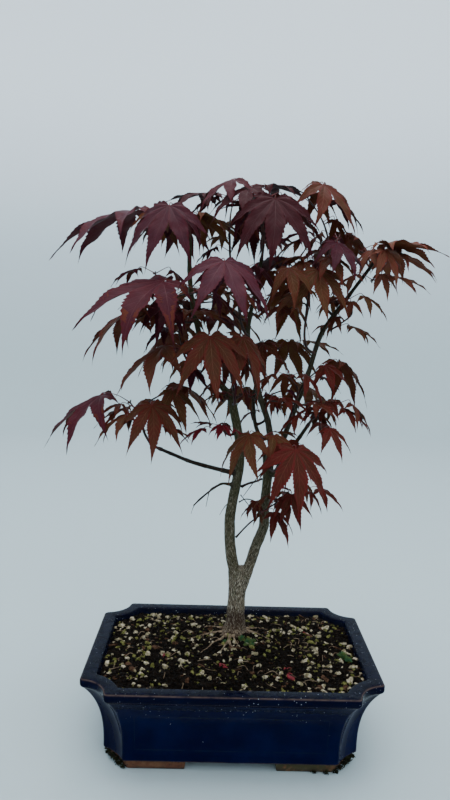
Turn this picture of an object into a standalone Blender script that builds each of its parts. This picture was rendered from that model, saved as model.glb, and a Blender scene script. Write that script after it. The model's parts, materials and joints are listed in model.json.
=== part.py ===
"""Japanese maple bonsai in a glazed rectangular pot with notched corners.

Units are metres and +Z is up.  The origin is on the ground under the middle of
the pot.  The pot and its four feet, the soil, the trunk, each limb and each
mass of leaves is one closed solid, with a gap of JOINT_GAP between neighbours.
"""

import math
import random
from dataclasses import dataclass

import bmesh
import bpy
from mathutils import Matrix, Vector
from mathutils.bvhtree import BVHTree
from mathutils.geometry import delaunay_2d_cdt

MM = 0.001
JOINT_GAP = 0.3 * MM

# Pot: a rectangle whose corners are cut by a concave quarter circle.
POT_LENGTH = 252 * MM
POT_WIDTH = 179 * MM
POT_HEIGHT = 77 * MM
NOTCH_RADIUS = 23.3 * MM
SHOULDER_RADIUS = 3.5 * MM
FOOT_HEIGHT = 9 * MM
FLOOR_TOP = 16 * MM
DRAIN_RADIUS = 9 * MM
DRAIN_SPACING = 90 * MM
# The wall flares out ever faster from its foot to the lip.
WALL_INSET = 18 * MM
FLARE_TOP = 68 * MM
FLARE_POWER = 2.85
LIP_OVERHANG = 2 * MM
WALL_LEVELS = (10.5 * MM, 24 * MM, 36 * MM, 45 * MM, 52 * MM, 58 * MM, 63 * MM, FLARE_TOP)
# (inset from the rim's outline, height), from the underside to the wall.
FOOT_PROFILE = ((19.5 * MM, FOOT_HEIGHT),)
# The same from the wall to the rim's top.
LIP_PROFILE = (
    (0.8 * MM, 70.4 * MM),
    (0.0 * MM, 72.2 * MM),
    (0.0 * MM, 75.8 * MM),
    (1.2 * MM, POT_HEIGHT),
)
# The same from the rim's inner edge down to the floor.
BORE_PROFILE = (
    (11.6 * MM, POT_HEIGHT),
    (12.8 * MM, 75.8 * MM),
    (14.0 * MM, 70.0 * MM),
    (20.5 * MM, 60.0 * MM),
    (23.5 * MM, FLOOR_TOP),
)

# Feet: L-shaped blocks under the corners, following the notch.
FOOT_INSET = 21.3 * MM
FOOT_BREADTH = 12 * MM
FOOT_LONG_END = 37 * MM
FOOT_SHORT_END = 24 * MM
FOOT_TAPER = 1.2 * MM

# Soil: level with the rim's throat at the wall, mounded at the trunk, and lumpy
# with its coarse grit everywhere but on the flat plateau under the trunk.
SOIL_EDGE_HEIGHT = 71.2 * MM
SOIL_EDGE_INSET = 14.3 * MM
SOIL_WALL_PROFILE = ((24.0 * MM, FLOOR_TOP + JOINT_GAP), (21.0 * MM, 60.0 * MM))
SOIL_TOP = 77.5 * MM
SOIL_PLATEAU = 19 * MM
PLATEAU_SIDES = 12
LUMP_SPACING = 15.5 * MM
LUMP_HEIGHT = 1.3 * MM
LUMP_MARGIN = 8 * MM
LUMP_SEED = 7

# Trunk: (height, centre x, half length along x, half length along y, root lobes).
TRUNK_Y = 26 * MM
TRUNK_SIDES = 15
ROOT_LOBES = 5
FORK_HEIGHT = 137.2 * MM
TRUNK_SECTIONS = (
    (SOIL_TOP + JOINT_GAP, 3.0 * MM, 13.2 * MM, 12.6 * MM, 0.20),
    (81.0 * MM, 3.1 * MM, 10.8 * MM, 10.4 * MM, 0.13),
    (86.0 * MM, 3.3 * MM, 9.3 * MM, 9.1 * MM, 0.06),
    (95.0 * MM, 3.6 * MM, 8.6 * MM, 8.5 * MM, 0.02),
    (110.0 * MM, 4.0 * MM, 8.3 * MM, 8.2 * MM, 0.0),
    (122.0 * MM, 5.0 * MM, 8.8 * MM, 8.1 * MM, 0.0),
    (131.0 * MM, 6.4 * MM, 10.6 * MM, 8.0 * MM, 0.0),
    (FORK_HEIGHT, 7.2 * MM, 12.0 * MM, 7.6 * MM, 0.0),
)

# Limbs: the straight run where one leaves its parent, and the least radius
# that is drawn with eight sides in place of six.
LIMB_FOOT = 2.5 * MM
THICK_LIMB = 3 * MM

# Leaves: lobes as (angle from the middle lobe in degrees, length over the span),
# with the pair beside the stalk narrow, and the two thicknesses of the blade.
LOBES = ((-120, 0.40), (-77, 0.74), (-38, 0.94), (0, 1.0), (38, 0.94), (77, 0.74), (120, 0.40))
SMALL_LOBES = ((-92, 0.40), (-44, 0.86), (0, 1.0), (44, 0.86), (92, 0.40))
SMALL_SPAN = 38 * MM
NARROW_LOBE = 0.5
STALK_ANGLE = 22
STALK_SINUS = 0.14
SINUS = 0.33
LOBE_WIDEST = 0.50
LOBE_HALF_WIDTH = 0.155
LOBE_CUP = 0.02
HUB_THICKNESS = 1.3 * MM
RIB_THICKNESS = 1.1 * MM
LEAF_SAG = 0.22
# How far a leaf may turn, drop, roll (degrees) and shrink (share) to find room.
OUTER_LOOSE = 24
PAIR_LOOSE = 70
FILLER_LOOSE = 60
DROOP_PER_TURN = 0.6
LEAF_ROLL = 8
LEAF_SHRINK = 0.25

# Twigs: three-sided, from a mass's stem to the pairs of leaves.
STEM_RADII = (1.7 * MM, 1.3 * MM)
TWIG_RADII = (1.15 * MM, 0.85 * MM)
PETIOLE_RADII = (0.80 * MM, 0.50 * MM)
PETIOLE_BASE = 7 * MM
PETIOLE_PER_SPAN = 0.32
PETIOLE_LIFT = 14
PETIOLE_HOOK = 4 * MM
SHORT_PETIOLE = 20 * MM
LONG_TWIG = 30 * MM
TWIG_TWIST = 0.7
TWIG_BEND = 0.45
STEM_SHARE = 0.55
STATIONS = 3
SINK = 1 * MM
# The leaf opposite another: its turn past straight across, share of span, droop.
PAIR_TURN = (15, 45)
PAIR_SPAN = (0.75, 0.95)
PAIR_DROOP = (22, 48)
# The twigs that fill a mass out, towards the back of the tree.
FILLER_SPREAD = 62
FILLER_STEP = 2.4
FILLER_REACH = (26 * MM, 44 * MM)
FILLER_RISE = (-15, 45)
FILLER_DROOP = (25, 50)
FILLER_SPAN = (42 * MM, 54 * MM)
# The room that leaves and twigs keep, and the tries at finding some.
CLEARANCE = 0.6 * MM
TRIES = 28
STRAY = 1.6
SOLVER = "MANIFOLD"

# The space that the crown keeps to.
CROWN_HALF_LENGTH = 175 * MM
CROWN_HALF_WIDTH = 107 * MM
CROWN_TOP = 496 * MM
CROWN_FOOT = 150 * MM


@dataclass(frozen=True)
class Limb:
    """A tapering limb, with sizes in millimetres.

    It leaves its parent limb at a fraction of the way along, and then follows its
    own points.  The two stems stand on the trunk and have no parent.
    """

    name: str
    parent: str
    along: float
    points: tuple
    start: float
    end: float
    bark: str = "young bark"


@dataclass(frozen=True)
class Leaf:
    """A leaf of the outer crown: its hub in millimetres, its bearing, droop and span."""

    x: float
    y: float
    z: float
    bearing: float
    droop: float
    span: float
    roll: float = 0


@dataclass(frozen=True)
class Mass:
    """A mass of leaves on one stem that grows from a limb."""

    name: str
    limb: str
    along: float
    leaves: tuple
    fill: int
    seed: int


LIMBS = (
    Limb("left_stem", "", 0, ((1.1, 25, 137.5), (1.1, 25, 139.5), (-2, 25, 152), (-4, 25, 172),
                              (-4, 24, 192), (0, 22, 219), (3, 20, 242), (2, 18, 264), (-3, 15, 288),
                              (-6, 14, 301)),
         11.2, 7.6, "old bark"),
    Limb("right_stem", "", 0, ((13.6, 25, 137.5), (13.6, 25, 139.5), (17, 24, 150), (21, 22, 165),
                               (27, 20, 183), (27, 18, 201), (28, 15, 223), (31, 14, 255)),
         10.4, 8.4, "green bark"),
    Limb("left_leader", "left_stem", 1.0, ((-21, 14, 321), (-32, 12, 345), (-39, 10, 369), (-44, 8, 393),
                                           (-46, 5, 418), (-46, 0, 440)), 6.6, 3.6),
    Limb("inner_leader", "right_stem", 1.0, ((27, 14, 283), (19, 15, 305), (11, 16, 335), (7, 18, 356),
                                             (8, 20, 374), (12, 20, 395), (17, 20, 427)), 6.4, 3.2),
    Limb("right_bough", "right_stem", 0.96, ((44, 17, 272), (53, 20, 298), (64, 23, 330), (73, 24, 361),
                                             (91, 22, 389)), 5.4, 4.2),
    Limb("right_bough_tip", "right_bough", 1.0, ((99, 20, 401), (112, 18, 420), (118, 18, 430)), 3.8, 3.0),
    Limb("right_low_bough", "right_stem", 0.91, ((44, 1, 256), (53, -4, 270), (61, -8, 284)), 4.4, 3.2),
    Limb("left_bough", "left_stem", 0.56, ((-19, 18, 237), (-38, 8, 244), (-50, 0, 250), (-68, -12, 260)),
         4.6, 3.0),
    Limb("back_bough", "right_stem", 0.88, ((26, 38, 252), (18, 50, 274), (16, 58, 300), (22, 64, 330)),
         4.8, 3.2),
    Limb("bare_twig", "left_stem", 0.50, ((-14, 20, 222), (-26, 17, 214), (-38, 14, 203)), 2.8, 1.6),
)

MASSES = (
    Mass("leaves_left_top", "left_leader", 1.0,
         (Leaf(-62, -25, 463, -110, 47, 54), Leaf(-98, 32, 466, -172, 20, 78)), 3, 41),
    Mass("leaves_left_middle", "left_leader", 0.55,
         (Leaf(-64, -50, 401, -160, 18, 74, -20), Leaf(-87, -12, 380, 168, 31, 58),
          Leaf(-65, -5, 388, -99, 52, 41), Leaf(-92, 20, 415, 168, 21, 28)), 1, 12),
    Mass("leaves_left_low", "left_leader", 0.12,
         (Leaf(-66, -10, 348, -150, 35, 52),), 2, 13),
    Mass("leaves_left_bough", "left_bough", 1.0,
         (Leaf(-73, -30, 300, -77, 47, 44), Leaf(-120, -2, 304, -170, 32, 58)), 2, 14),
    Mass("leaves_centre_low", "left_stem", 0.97,
         (Leaf(-26, -50, 359, -81, 53, 50), Leaf(1, -25, 358, -51, 56, 46)), 0, 15),
    Mass("leaves_centre_front", "inner_leader", 0.62,
         (Leaf(-16, -52, 418, -72, 38, 58), Leaf(-10, -40, 418, -127, 43, 34)), 0, 16),
    Mass("leaves_centre_back", "inner_leader", 0.72,
         (Leaf(-22, 60, 391, 12, 35, 58),), 2, 17),
    Mass("leaves_top", "inner_leader", 1.0,
         (Leaf(24, -25, 471, -92, 52, 60), Leaf(4, 5, 485, -139, 31, 48),
          Leaf(20, 45, 494, 37, 0, 50), Leaf(12, 55, 472, 94, 61, 41)), 0, 18),
    Mass("leaves_top_back", "inner_leader", 0.88,
         (Leaf(-30, 60, 488, -174, 6, 47),), 3, 49),
    Mass("leaves_right_top", "right_bough", 0.93,
         (Leaf(68, 12, 490, -48, 48, 62, 10), Leaf(79, -8, 439, -59, 42, 38),
          Leaf(56, 25, 451, -148, 16, 30)), 2, 20),
    Mass("leaves_right_middle", "right_bough", 0.72,
         (Leaf(64, -5, 416, -85, 49, 46), Leaf(38, -15, 417, -78, 46, 37)), 1, 21),
    Mass("leaves_right_tip", "right_bough_tip", 1.0,
         (Leaf(125, 12, 441, -22, 4, 53), Leaf(127, 20, 435, 17, 14, 52),
          Leaf(131, 10, 414, -18, 14, 34)), 1, 22),
    Mass("leaves_right_spur", "right_bough_tip", 0.15,
         (Leaf(106, 6, 396, -29, 32, 26), Leaf(97, 15, 370, -21, 23, 30)), 0, 23),
    Mass("leaves_right_inner", "right_bough", 0.35,
         (Leaf(56, -5, 327, -39, 45, 27),), 1, 24),
    Mass("leaves_right_low", "right_low_bough", 1.0,
         (Leaf(81, 5, 302, -122, 28, 27), Leaf(93, 5, 297, -23, 28, 29),
          Leaf(77, -25, 283, -69, 39, 28), Leaf(39, -5, 306, -36, 15, 26)), 0, 25),
    Mass("leaves_right_front", "right_stem", 0.93,
         (Leaf(46, -50, 269, -79, 60, 49),), 0, 26),
    Mass("leaves_right_foot", "right_stem", 0.78,
         (Leaf(48, -12, 222, -69, 48, 29), Leaf(73, 0, 225, -25, 26, 26),
          Leaf(34, -5, 204, -47, 45, 29)), 0, 27),
    Mass("leaves_front_low", "inner_leader", 0.12,
         (Leaf(9, -28, 277, -134, 45, 39),), 0, 28),
    Mass("leaves_back_low", "back_bough", 0.55,
         (Leaf(4, 66, 306, 110, 40, 42), Leaf(62, 62, 312, 25, 35, 46)), 1, 29),
    Mass("leaves_back_middle", "back_bough", 1.0,
         (Leaf(-18, 64, 350, 140, 35, 48), Leaf(48, 66, 352, 60, 45, 46)), 2, 30),
    Mass("leaves_young", "left_stem", 0.80,
         (Leaf(-30, -2, 277, -170, 25, 24), Leaf(-14, -8, 281, -100, 20, 20)), 0, 31),
)


def clear_scene():
    """Remove every object and collection that the file opened with."""
    for thing in list(bpy.data.objects):
        bpy.data.objects.remove(thing, do_unlink=True)
    for group in list(bpy.data.collections):
        bpy.data.collections.remove(group)


def material(name, colour, roughness, metallic=0.0, coat=0.0):
    """A Principled material of one colour."""
    shader = bpy.data.materials.new(name)
    shader.use_nodes = True
    surface = shader.node_tree.nodes["Principled BSDF"]
    surface.inputs["Base Color"].default_value = (*colour, 1)
    surface.inputs["Roughness"].default_value = roughness
    surface.inputs["Metallic"].default_value = metallic
    surface.inputs["Coat Weight"].default_value = coat
    return shader


def mesh_object(name, shape, group, finish, smooth_angle=None):
    """Make an object of a bmesh, shaded smooth below an angle where one is given."""
    bmesh.ops.recalc_face_normals(shape, faces=shape.faces)
    mesh = bpy.data.meshes.new(name)
    shape.to_mesh(mesh)
    shape.free()
    if smooth_angle is not None:
        mesh.shade_smooth()
        mesh.set_sharp_from_angle(angle=math.radians(smooth_angle))
    mesh.materials.append(finish)
    thing = bpy.data.objects.new(name, mesh)
    group.objects.link(thing)
    return thing


def loft(rings):
    """A closed bmesh through rings of equally many points, with flat ends."""
    shape = bmesh.new()
    loops = [[shape.verts.new(point) for point in ring] for ring in rings]
    for below, above in zip(loops, loops[1:]):
        count = len(below)
        for i in range(count):
            shape.faces.new((below[i], below[(i + 1) % count], above[(i + 1) % count], above[i]))
    shape.faces.new(reversed(loops[0]))
    shape.faces.new(loops[-1])
    return shape


def arc(centre, radius, start, end, steps):
    """Points of an arc, angles in radians, both ends included."""
    return [(centre[0] + radius * math.cos(start + (end - start) * i / steps),
             centre[1] + radius * math.sin(start + (end - start) * i / steps))
            for i in range(steps + 1)]


def corner_outline(inset):
    """The notched corner in the +x +y quadrant, from the side edge to the back edge."""
    corner = (POT_LENGTH / 2, POT_WIDTH / 2)
    notch = NOTCH_RADIUS + inset
    reach = notch + SHOULDER_RADIUS
    near = inset + SHOULDER_RADIUS
    far = math.sqrt(reach ** 2 - near ** 2)
    side, back = math.atan2(far, near), math.atan2(near, far)
    points = arc((corner[0] - near, corner[1] - far), SHOULDER_RADIUS, 0, side, 2)
    points += arc(corner, notch, math.pi + side, math.pi + back, 4)[1:-1]
    points += arc((corner[0] - far, corner[1] - near), SHOULDER_RADIUS, back, math.pi / 2, 2)
    return points


def pot_outline(inset):
    """The whole notched outline, anticlockwise, offset inwards by inset."""
    first = corner_outline(inset)
    second = [(-x, y) for x, y in reversed(first)]
    return first + second + [(-x, -y) for x, y in first] + [(-x, -y) for x, y in second]


def pot_ring(inset, height):
    """The notched outline at a height."""
    return [(x, y, height) for x, y in pot_outline(inset)]


def wall_profile():
    """The flaring wall between the foot and the lip, as (inset, height)."""
    for level in WALL_LEVELS:
        share = (level - FOOT_HEIGHT) / (FLARE_TOP - FOOT_HEIGHT)
        yield WALL_INSET - (WALL_INSET - LIP_OVERHANG) * share ** FLARE_POWER, level


def build_pot(group, cutters):
    """The glazed shell with its two drain holes."""
    profile = (*FOOT_PROFILE, *wall_profile(), *LIP_PROFILE, *BORE_PROFILE)
    glaze = material("dark blue glaze", (0.006, 0.014, 0.055), 0.12, coat=0.6)
    pot = mesh_object("pot", loft([pot_ring(*section) for section in profile]), group, glaze, 35)
    for side in (-1, 1):
        drill = bmesh.new()
        bmesh.ops.create_cone(drill, cap_ends=True, segments=20, radius1=DRAIN_RADIUS,
                              radius2=DRAIN_RADIUS, depth=FLOOR_TOP * 2)
        cutter = mesh_object("drain_cutter", drill, cutters, glaze)
        cutter.location = (side * DRAIN_SPACING / 2, 0, FLOOR_TOP)
        cutter.hide_render = True
        cutter.display_type = "WIRE"
        cut = pot.modifiers.new("drain hole", "BOOLEAN")
        cut.operation = "DIFFERENCE"
        cut.object = cutter


def build_feet(group):
    """Four L-shaped feet that follow the notched corners."""
    clay = material("bare terracotta", (0.30, 0.10, 0.045), 0.85)
    for side, x_sign in (("left", -1), ("right", 1)):
        for face, y_sign in (("front", -1), ("back", 1)):
            rings = []
            for height, taper in ((0, FOOT_TAPER), (FOOT_HEIGHT - JOINT_GAP, 0)):
                outer = corner_outline(FOOT_INSET + taper)
                inner = corner_outline(FOOT_INSET + FOOT_BREADTH - taper)
                long_end, short_end = FOOT_LONG_END + taper, FOOT_SHORT_END + taper
                path = [(outer[0][0], short_end), *outer, (long_end, outer[-1][1]),
                        (long_end, inner[-1][1]), *reversed(inner), (inner[0][0], short_end)]
                rings.append([(x * x_sign, y * y_sign, height) for x, y in path])
            mesh_object(f"foot_{face}_{side}", loft(rings), group, clay)


def soil_height(spot):
    """Height of the soil's top without its lumps: the plateau, falling to the wall."""
    heart = Vector((TRUNK_SECTIONS[0][1], TRUNK_Y))
    out = spot - heart
    half = Vector((POT_LENGTH / 2, POT_WIDTH / 2)) - Vector((SOIL_EDGE_INSET, SOIL_EDGE_INSET))
    across = abs(out.x) / (half.x - math.copysign(heart.x, out.x))
    along = abs(out.y) / (half.y - math.copysign(heart.y, out.y))
    share = (across ** 4 + along ** 4) ** 0.25
    flat = SOIL_PLATEAU / half.x
    share = min(1, max(0, (share - flat) / (1 - flat)))
    return SOIL_TOP - (SOIL_TOP - SOIL_EDGE_HEIGHT) * share ** 1.5


def soil_lumps():
    """Tops and hollows of the soil's lumps, on a staggered grid that a seed has disturbed."""
    chance = random.Random(LUMP_SEED)
    heart = Vector((TRUNK_SECTIONS[0][1], TRUNK_Y))
    inset = SOIL_EDGE_INSET + LUMP_MARGIN
    half_x, half_y = POT_LENGTH / 2 - inset, POT_WIDTH / 2 - inset
    corner = Vector((POT_LENGTH / 2, POT_WIDTH / 2))
    columns, rows = round(2 * half_x / LUMP_SPACING), round(2 * half_y / LUMP_SPACING)
    for row in range(rows + 1):
        for column in range(columns + row % 2):
            x = -half_x + 2 * half_x * (column + 0.5 * (1 - row % 2)) / columns
            y = -half_y + 2 * half_y * row / rows
            wander = LUMP_SPACING * 0.2
            spot = Vector((x + chance.uniform(-wander, wander), y + chance.uniform(-wander, wander)))
            lift = LUMP_HEIGHT * chance.uniform(-1, 1)
            notch = (corner - Vector((abs(spot.x), abs(spot.y)))).length - NOTCH_RADIUS - inset
            if notch > 0 and (spot - heart).length > SOIL_PLATEAU + LUMP_MARGIN:
                yield Vector((*spot, soil_height(spot) + lift))


def build_soil(group):
    """The filling of the pot, with a mound that the trunk stands on."""
    earth = material("dark compost", (0.020, 0.014, 0.010), 0.95)
    edge = [Vector(point) for point in pot_ring(SOIL_EDGE_INSET, SOIL_EDGE_HEIGHT)]
    shape = loft([pot_ring(*section) for section in SOIL_WALL_PROFILE] + [edge])
    plateau = [Vector((TRUNK_SECTIONS[0][1] + SOIL_PLATEAU * math.cos(math.tau * i / PLATEAU_SIDES),
                       TRUNK_Y + SOIL_PLATEAU * math.sin(math.tau * i / PLATEAU_SIDES), SOIL_TOP))
               for i in range(PLATEAU_SIDES)]
    points = [*edge, *plateau, *soil_lumps()]
    loop = [(i, (i + 1) % len(edge)) for i in range(len(edge))]
    flat, _, faces, sources, _, _ = delaunay_2d_cdt([p.xy for p in points], loop, [], 1, 0.01 * MM)
    lid = shape.faces[:][-1]
    rim = list(lid.verts)
    shape.faces.remove(lid)
    corners = [rim[source[0]] if source[0] < len(edge) else shape.verts.new(points[source[0]])
               for source in sources]
    for face in faces:
        shape.faces.new([corners[i] for i in face])
    mesh_object("soil", shape, group, earth, 40)


def build_trunk(group):
    """The short trunk, flared at the roots and widened at its fork."""
    rings = []
    for height, centre, half_x, half_y, flare in TRUNK_SECTIONS:
        ring = []
        for i in range(TRUNK_SIDES):
            turn = math.tau * i / TRUNK_SIDES
            swell = 1 + flare * math.cos(ROOT_LOBES * turn)
            ring.append((centre + half_x * swell * math.cos(turn),
                         TRUNK_Y + half_y * swell * math.sin(turn), height))
        rings.append(ring)
    bark = material("old bark", (0.16, 0.12, 0.085), 0.9)
    return mesh_object("trunk", loft(rings), group, bark, 45)


def smoothed(points, steps=2):
    """Points of a Catmull-Rom curve through the given ones."""
    ends = [points[0] * 2 - points[1], *points, points[-1] * 2 - points[-2]]
    curve = []
    for before, here, after, beyond in zip(ends, ends[1:], ends[2:], ends[3:]):
        for step in range(steps):
            t = step / steps
            curve.append(0.5 * (2 * here + (after - before) * t
                                + (2 * before - 5 * here + 4 * after - beyond) * t ** 2
                                + (3 * here - before - 3 * after + beyond) * t ** 3))
    return [*curve, points[-1]]


class Branch:
    """A limb laid out in metres: the centres of its sections and their radii."""

    def __init__(self, limb, laid):
        points = [Vector(point) * MM for point in limb.points]
        if limb.parent:
            foot, leave = laid[limb.parent].bud(limb.along, points[0])
            points = [foot, foot + leave * LIMB_FOOT, *points]
        self.centres = [points[0], *smoothed(points[1:])]
        self.start, self.end = limb.start * MM / 2, limb.end * MM / 2

    def radius(self, along):
        """Radius at a fraction of the way along."""
        return self.start + (self.end - self.start) * along

    def bud(self, along, toward):
        """Start and direction of a shoot that leaves this branch towards a point."""
        place = along * (len(self.centres) - 1)
        index = min(int(place), len(self.centres) - 2)
        run = self.centres[index + 1] - self.centres[index]
        centre, axis = self.centres[index] + run * (place - index), run.normalized()
        if along == 1.0:
            return centre + axis * JOINT_GAP, axis
        out = toward - centre
        out = (out - axis * out.dot(axis)).normalized()
        return centre + out * (self.radius(along) + JOINT_GAP), out


def build_limb(limb, branch, group, barks):
    """A limb as a tapering curve with filled ends."""
    curve = bpy.data.curves.new(limb.name, "CURVE")
    curve.dimensions = "3D"
    curve.bevel_depth = branch.start
    curve.bevel_resolution = 2 if branch.start > THICK_LIMB else 1
    curve.use_fill_caps = True
    spline = curve.splines.new("POLY")
    last = len(branch.centres) - 1
    spline.points.add(last)
    for index, (point, centre) in enumerate(zip(spline.points, branch.centres)):
        point.co = (*(centre - branch.centres[0]), 1)
        point.radius = branch.radius(index / last) / branch.start
    curve.materials.append(barks[limb.bark])
    thing = bpy.data.objects.new(limb.name, curve)
    thing.location = branch.centres[0]
    group.objects.link(thing)
    return thing


def direction(bearing, rise):
    """Unit vector at a bearing from +x and a rise above level, in degrees."""
    turn, lift = math.radians(bearing), math.radians(rise)
    return Vector((math.cos(turn) * math.cos(lift), math.sin(turn) * math.cos(lift), math.sin(lift)))


def tube(centres, radii, swell=0.0):
    """Vertices and faces of a three-sided twig that tapers between two radii."""
    sides = 3
    verts, faces = [], []
    across = None
    for index, centre in enumerate(centres):
        ahead = centres[min(index + 1, len(centres) - 1)] - centres[max(index - 1, 0)]
        ahead.normalize()
        if across is None:
            across = Matrix.Rotation(TWIG_TWIST, 3, ahead) @ ahead.orthogonal().normalized()
        across = (across - ahead * across.dot(ahead)).normalized()
        other = ahead.cross(across)
        size = radii[0] + (radii[1] - radii[0]) * index / (len(centres) - 1) + swell
        for side in range(sides):
            turn = math.tau * side / sides
            verts.append(centre + (across * math.cos(turn) + other * math.sin(turn)) * size)
    for index in range(len(centres) - 1):
        base = index * sides
        for side in range(sides):
            after = (side + 1) % sides
            faces.append((base + side, base + after, base + sides + after, base + sides + side))
    faces.append((2, 1, 0))
    faces.append(tuple(len(verts) - sides + side for side in range(sides)))
    return verts, faces


def blade(hub, bearing, droop, span, roll=0.0, swell=0.0):
    """Vertices and faces of a palmate leaf: a thin lens with a lobe for each of LOBES."""
    ahead = direction(bearing, -droop)
    across = Vector((-math.sin(math.radians(bearing)), math.cos(math.radians(bearing)), 0))
    across = Matrix.Rotation(math.radians(roll), 3, ahead) @ across
    normal = ahead.cross(across)

    def place(angle, length, aside=0.0, height=0.0):
        turn = math.radians(angle)
        along = length * math.cos(turn) - aside * math.sin(turn)
        off = length * math.sin(turn) + aside * math.cos(turn)
        fall = LEAF_SAG * span * (math.hypot(along, off) / span) ** 2
        return hub + ahead * along + across * off + normal * height - Vector((0, 0, fall))

    lobes = SMALL_LOBES if span < SMALL_SPAN else LOBES
    verts = [place(0, 0, 0, HUB_THICKNESS / 2 + swell), place(0, 0, 0, -HUB_THICKNESS / 2 - swell)]
    faces = []
    stalk_side = lobes[0][0] - STALK_ANGLE
    verts.append(place(stalk_side, span * STALK_SINUS + swell))
    for index, (angle, share) in enumerate(lobes):
        length = span * share + swell
        last = index == len(lobes) - 1
        start = len(verts) - 1
        if share > NARROW_LOBE:
            width = length * LOBE_HALF_WIDTH + swell
            rib = len(verts)
            verts += [place(angle, length * LOBE_WIDEST, 0, RIB_THICKNESS + swell),
                      place(angle, length * LOBE_WIDEST, -width, LOBE_CUP * span),
                      place(angle, length),
                      place(angle, length * LOBE_WIDEST, width, LOBE_CUP * span)]
            rim = [start, rib + 1, rib + 2, rib + 3, rib + 4]
        else:
            rib = 0
            verts.append(place(angle, length))
            rim = [start, len(verts) - 1, len(verts)]
        if last:
            verts.append(place(-stalk_side, span * STALK_SINUS + swell))
        else:
            between = (angle + lobes[index + 1][0]) / 2
            narrow = min(share, lobes[index + 1][1]) < NARROW_LOBE
            verts.append(place(between, span * SINUS * (0.75 if narrow else 1) + swell))
        for here, after in zip(rim, rim[1:]):
            faces.append((here, after, rib))
            faces.append((after, here, 1))
        if rib:
            faces += [(0, rim[0], rib), (rim[-1], 0, rib)]
    faces += [(0, len(verts) - 1, 2), (1, 2, len(verts) - 1)]
    return verts, faces


class Space:
    """What is already built, so that a new leaf or twig can keep clear of it."""

    def __init__(self):
        self.pieces = []

    def add(self, owner, verts, faces):
        """Remember a solid under its owner's name."""
        low = [min(v[axis] for v in verts) for axis in range(3)]
        high = [max(v[axis] for v in verts) for axis in range(3)]
        piece = (owner, low, high, BVHTree.FromPolygons(verts, faces))
        self.pieces.append(piece)
        return piece

    def drop(self, piece):
        """Forget a solid that came to nothing."""
        self.pieces.remove(piece)

    def touched(self, verts, faces, ignore=()):
        """True where a solid would meet one whose owner isn't ignored."""
        low = [min(v[axis] for v in verts) for axis in range(3)]
        high = [max(v[axis] for v in verts) for axis in range(3)]
        tree = BVHTree.FromPolygons(verts, faces)
        for owner, floor, roof, other in self.pieces:
            if owner in ignore:
                continue
            if any(low[axis] > roof[axis] or high[axis] < floor[axis] for axis in range(3)):
                continue
            if tree.overlap(other):
                return True
        return False


def inside_crown(verts):
    """True where every vertex keeps to the crown's space."""
    return all(abs(v.x) < CROWN_HALF_LENGTH and abs(v.y) < CROWN_HALF_WIDTH
               and CROWN_FOOT < v.z < CROWN_TOP for v in verts)


def curved(start, leave, end, steps):
    """Points from start to end that set off in the direction leave."""
    middle = start + leave * (end - start).length * TWIG_BEND
    points = []
    for i in range(steps + 1):
        t = i / steps
        points.append(start * (1 - t) ** 2 + middle * 2 * t * (1 - t) + end * t ** 2)
    return points


@dataclass(frozen=True)
class Pose:
    """Where a blade lies: its hub, bearing, droop, span and roll."""

    hub: Vector
    bearing: float
    droop: float
    span: float
    roll: float

    def blade(self, swell=0.0):
        """The blade's vertices and faces."""
        return blade(self.hub, self.bearing, self.droop, self.span, self.roll, swell)

    def stalk(self):
        """Length of the petiole that carries the blade."""
        return PETIOLE_BASE + PETIOLE_PER_SPAN * self.span

    def node(self):
        """Where the petiole leaves its twig."""
        return self.hub - direction(self.bearing, PETIOLE_LIFT) * self.stalk()

    def petiole(self, node):
        """Route of the petiole, which hooks over into the blade's hub."""
        hook = self.hub - direction(self.bearing, -self.droop) * PETIOLE_HOOK
        path = [node, node.lerp(hook, 0.5) + Vector((0, 0, self.stalk() * 0.08)), hook, self.hub]
        if self.stalk() < SHORT_PETIOLE:
            path.pop(1)
        return path


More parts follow.
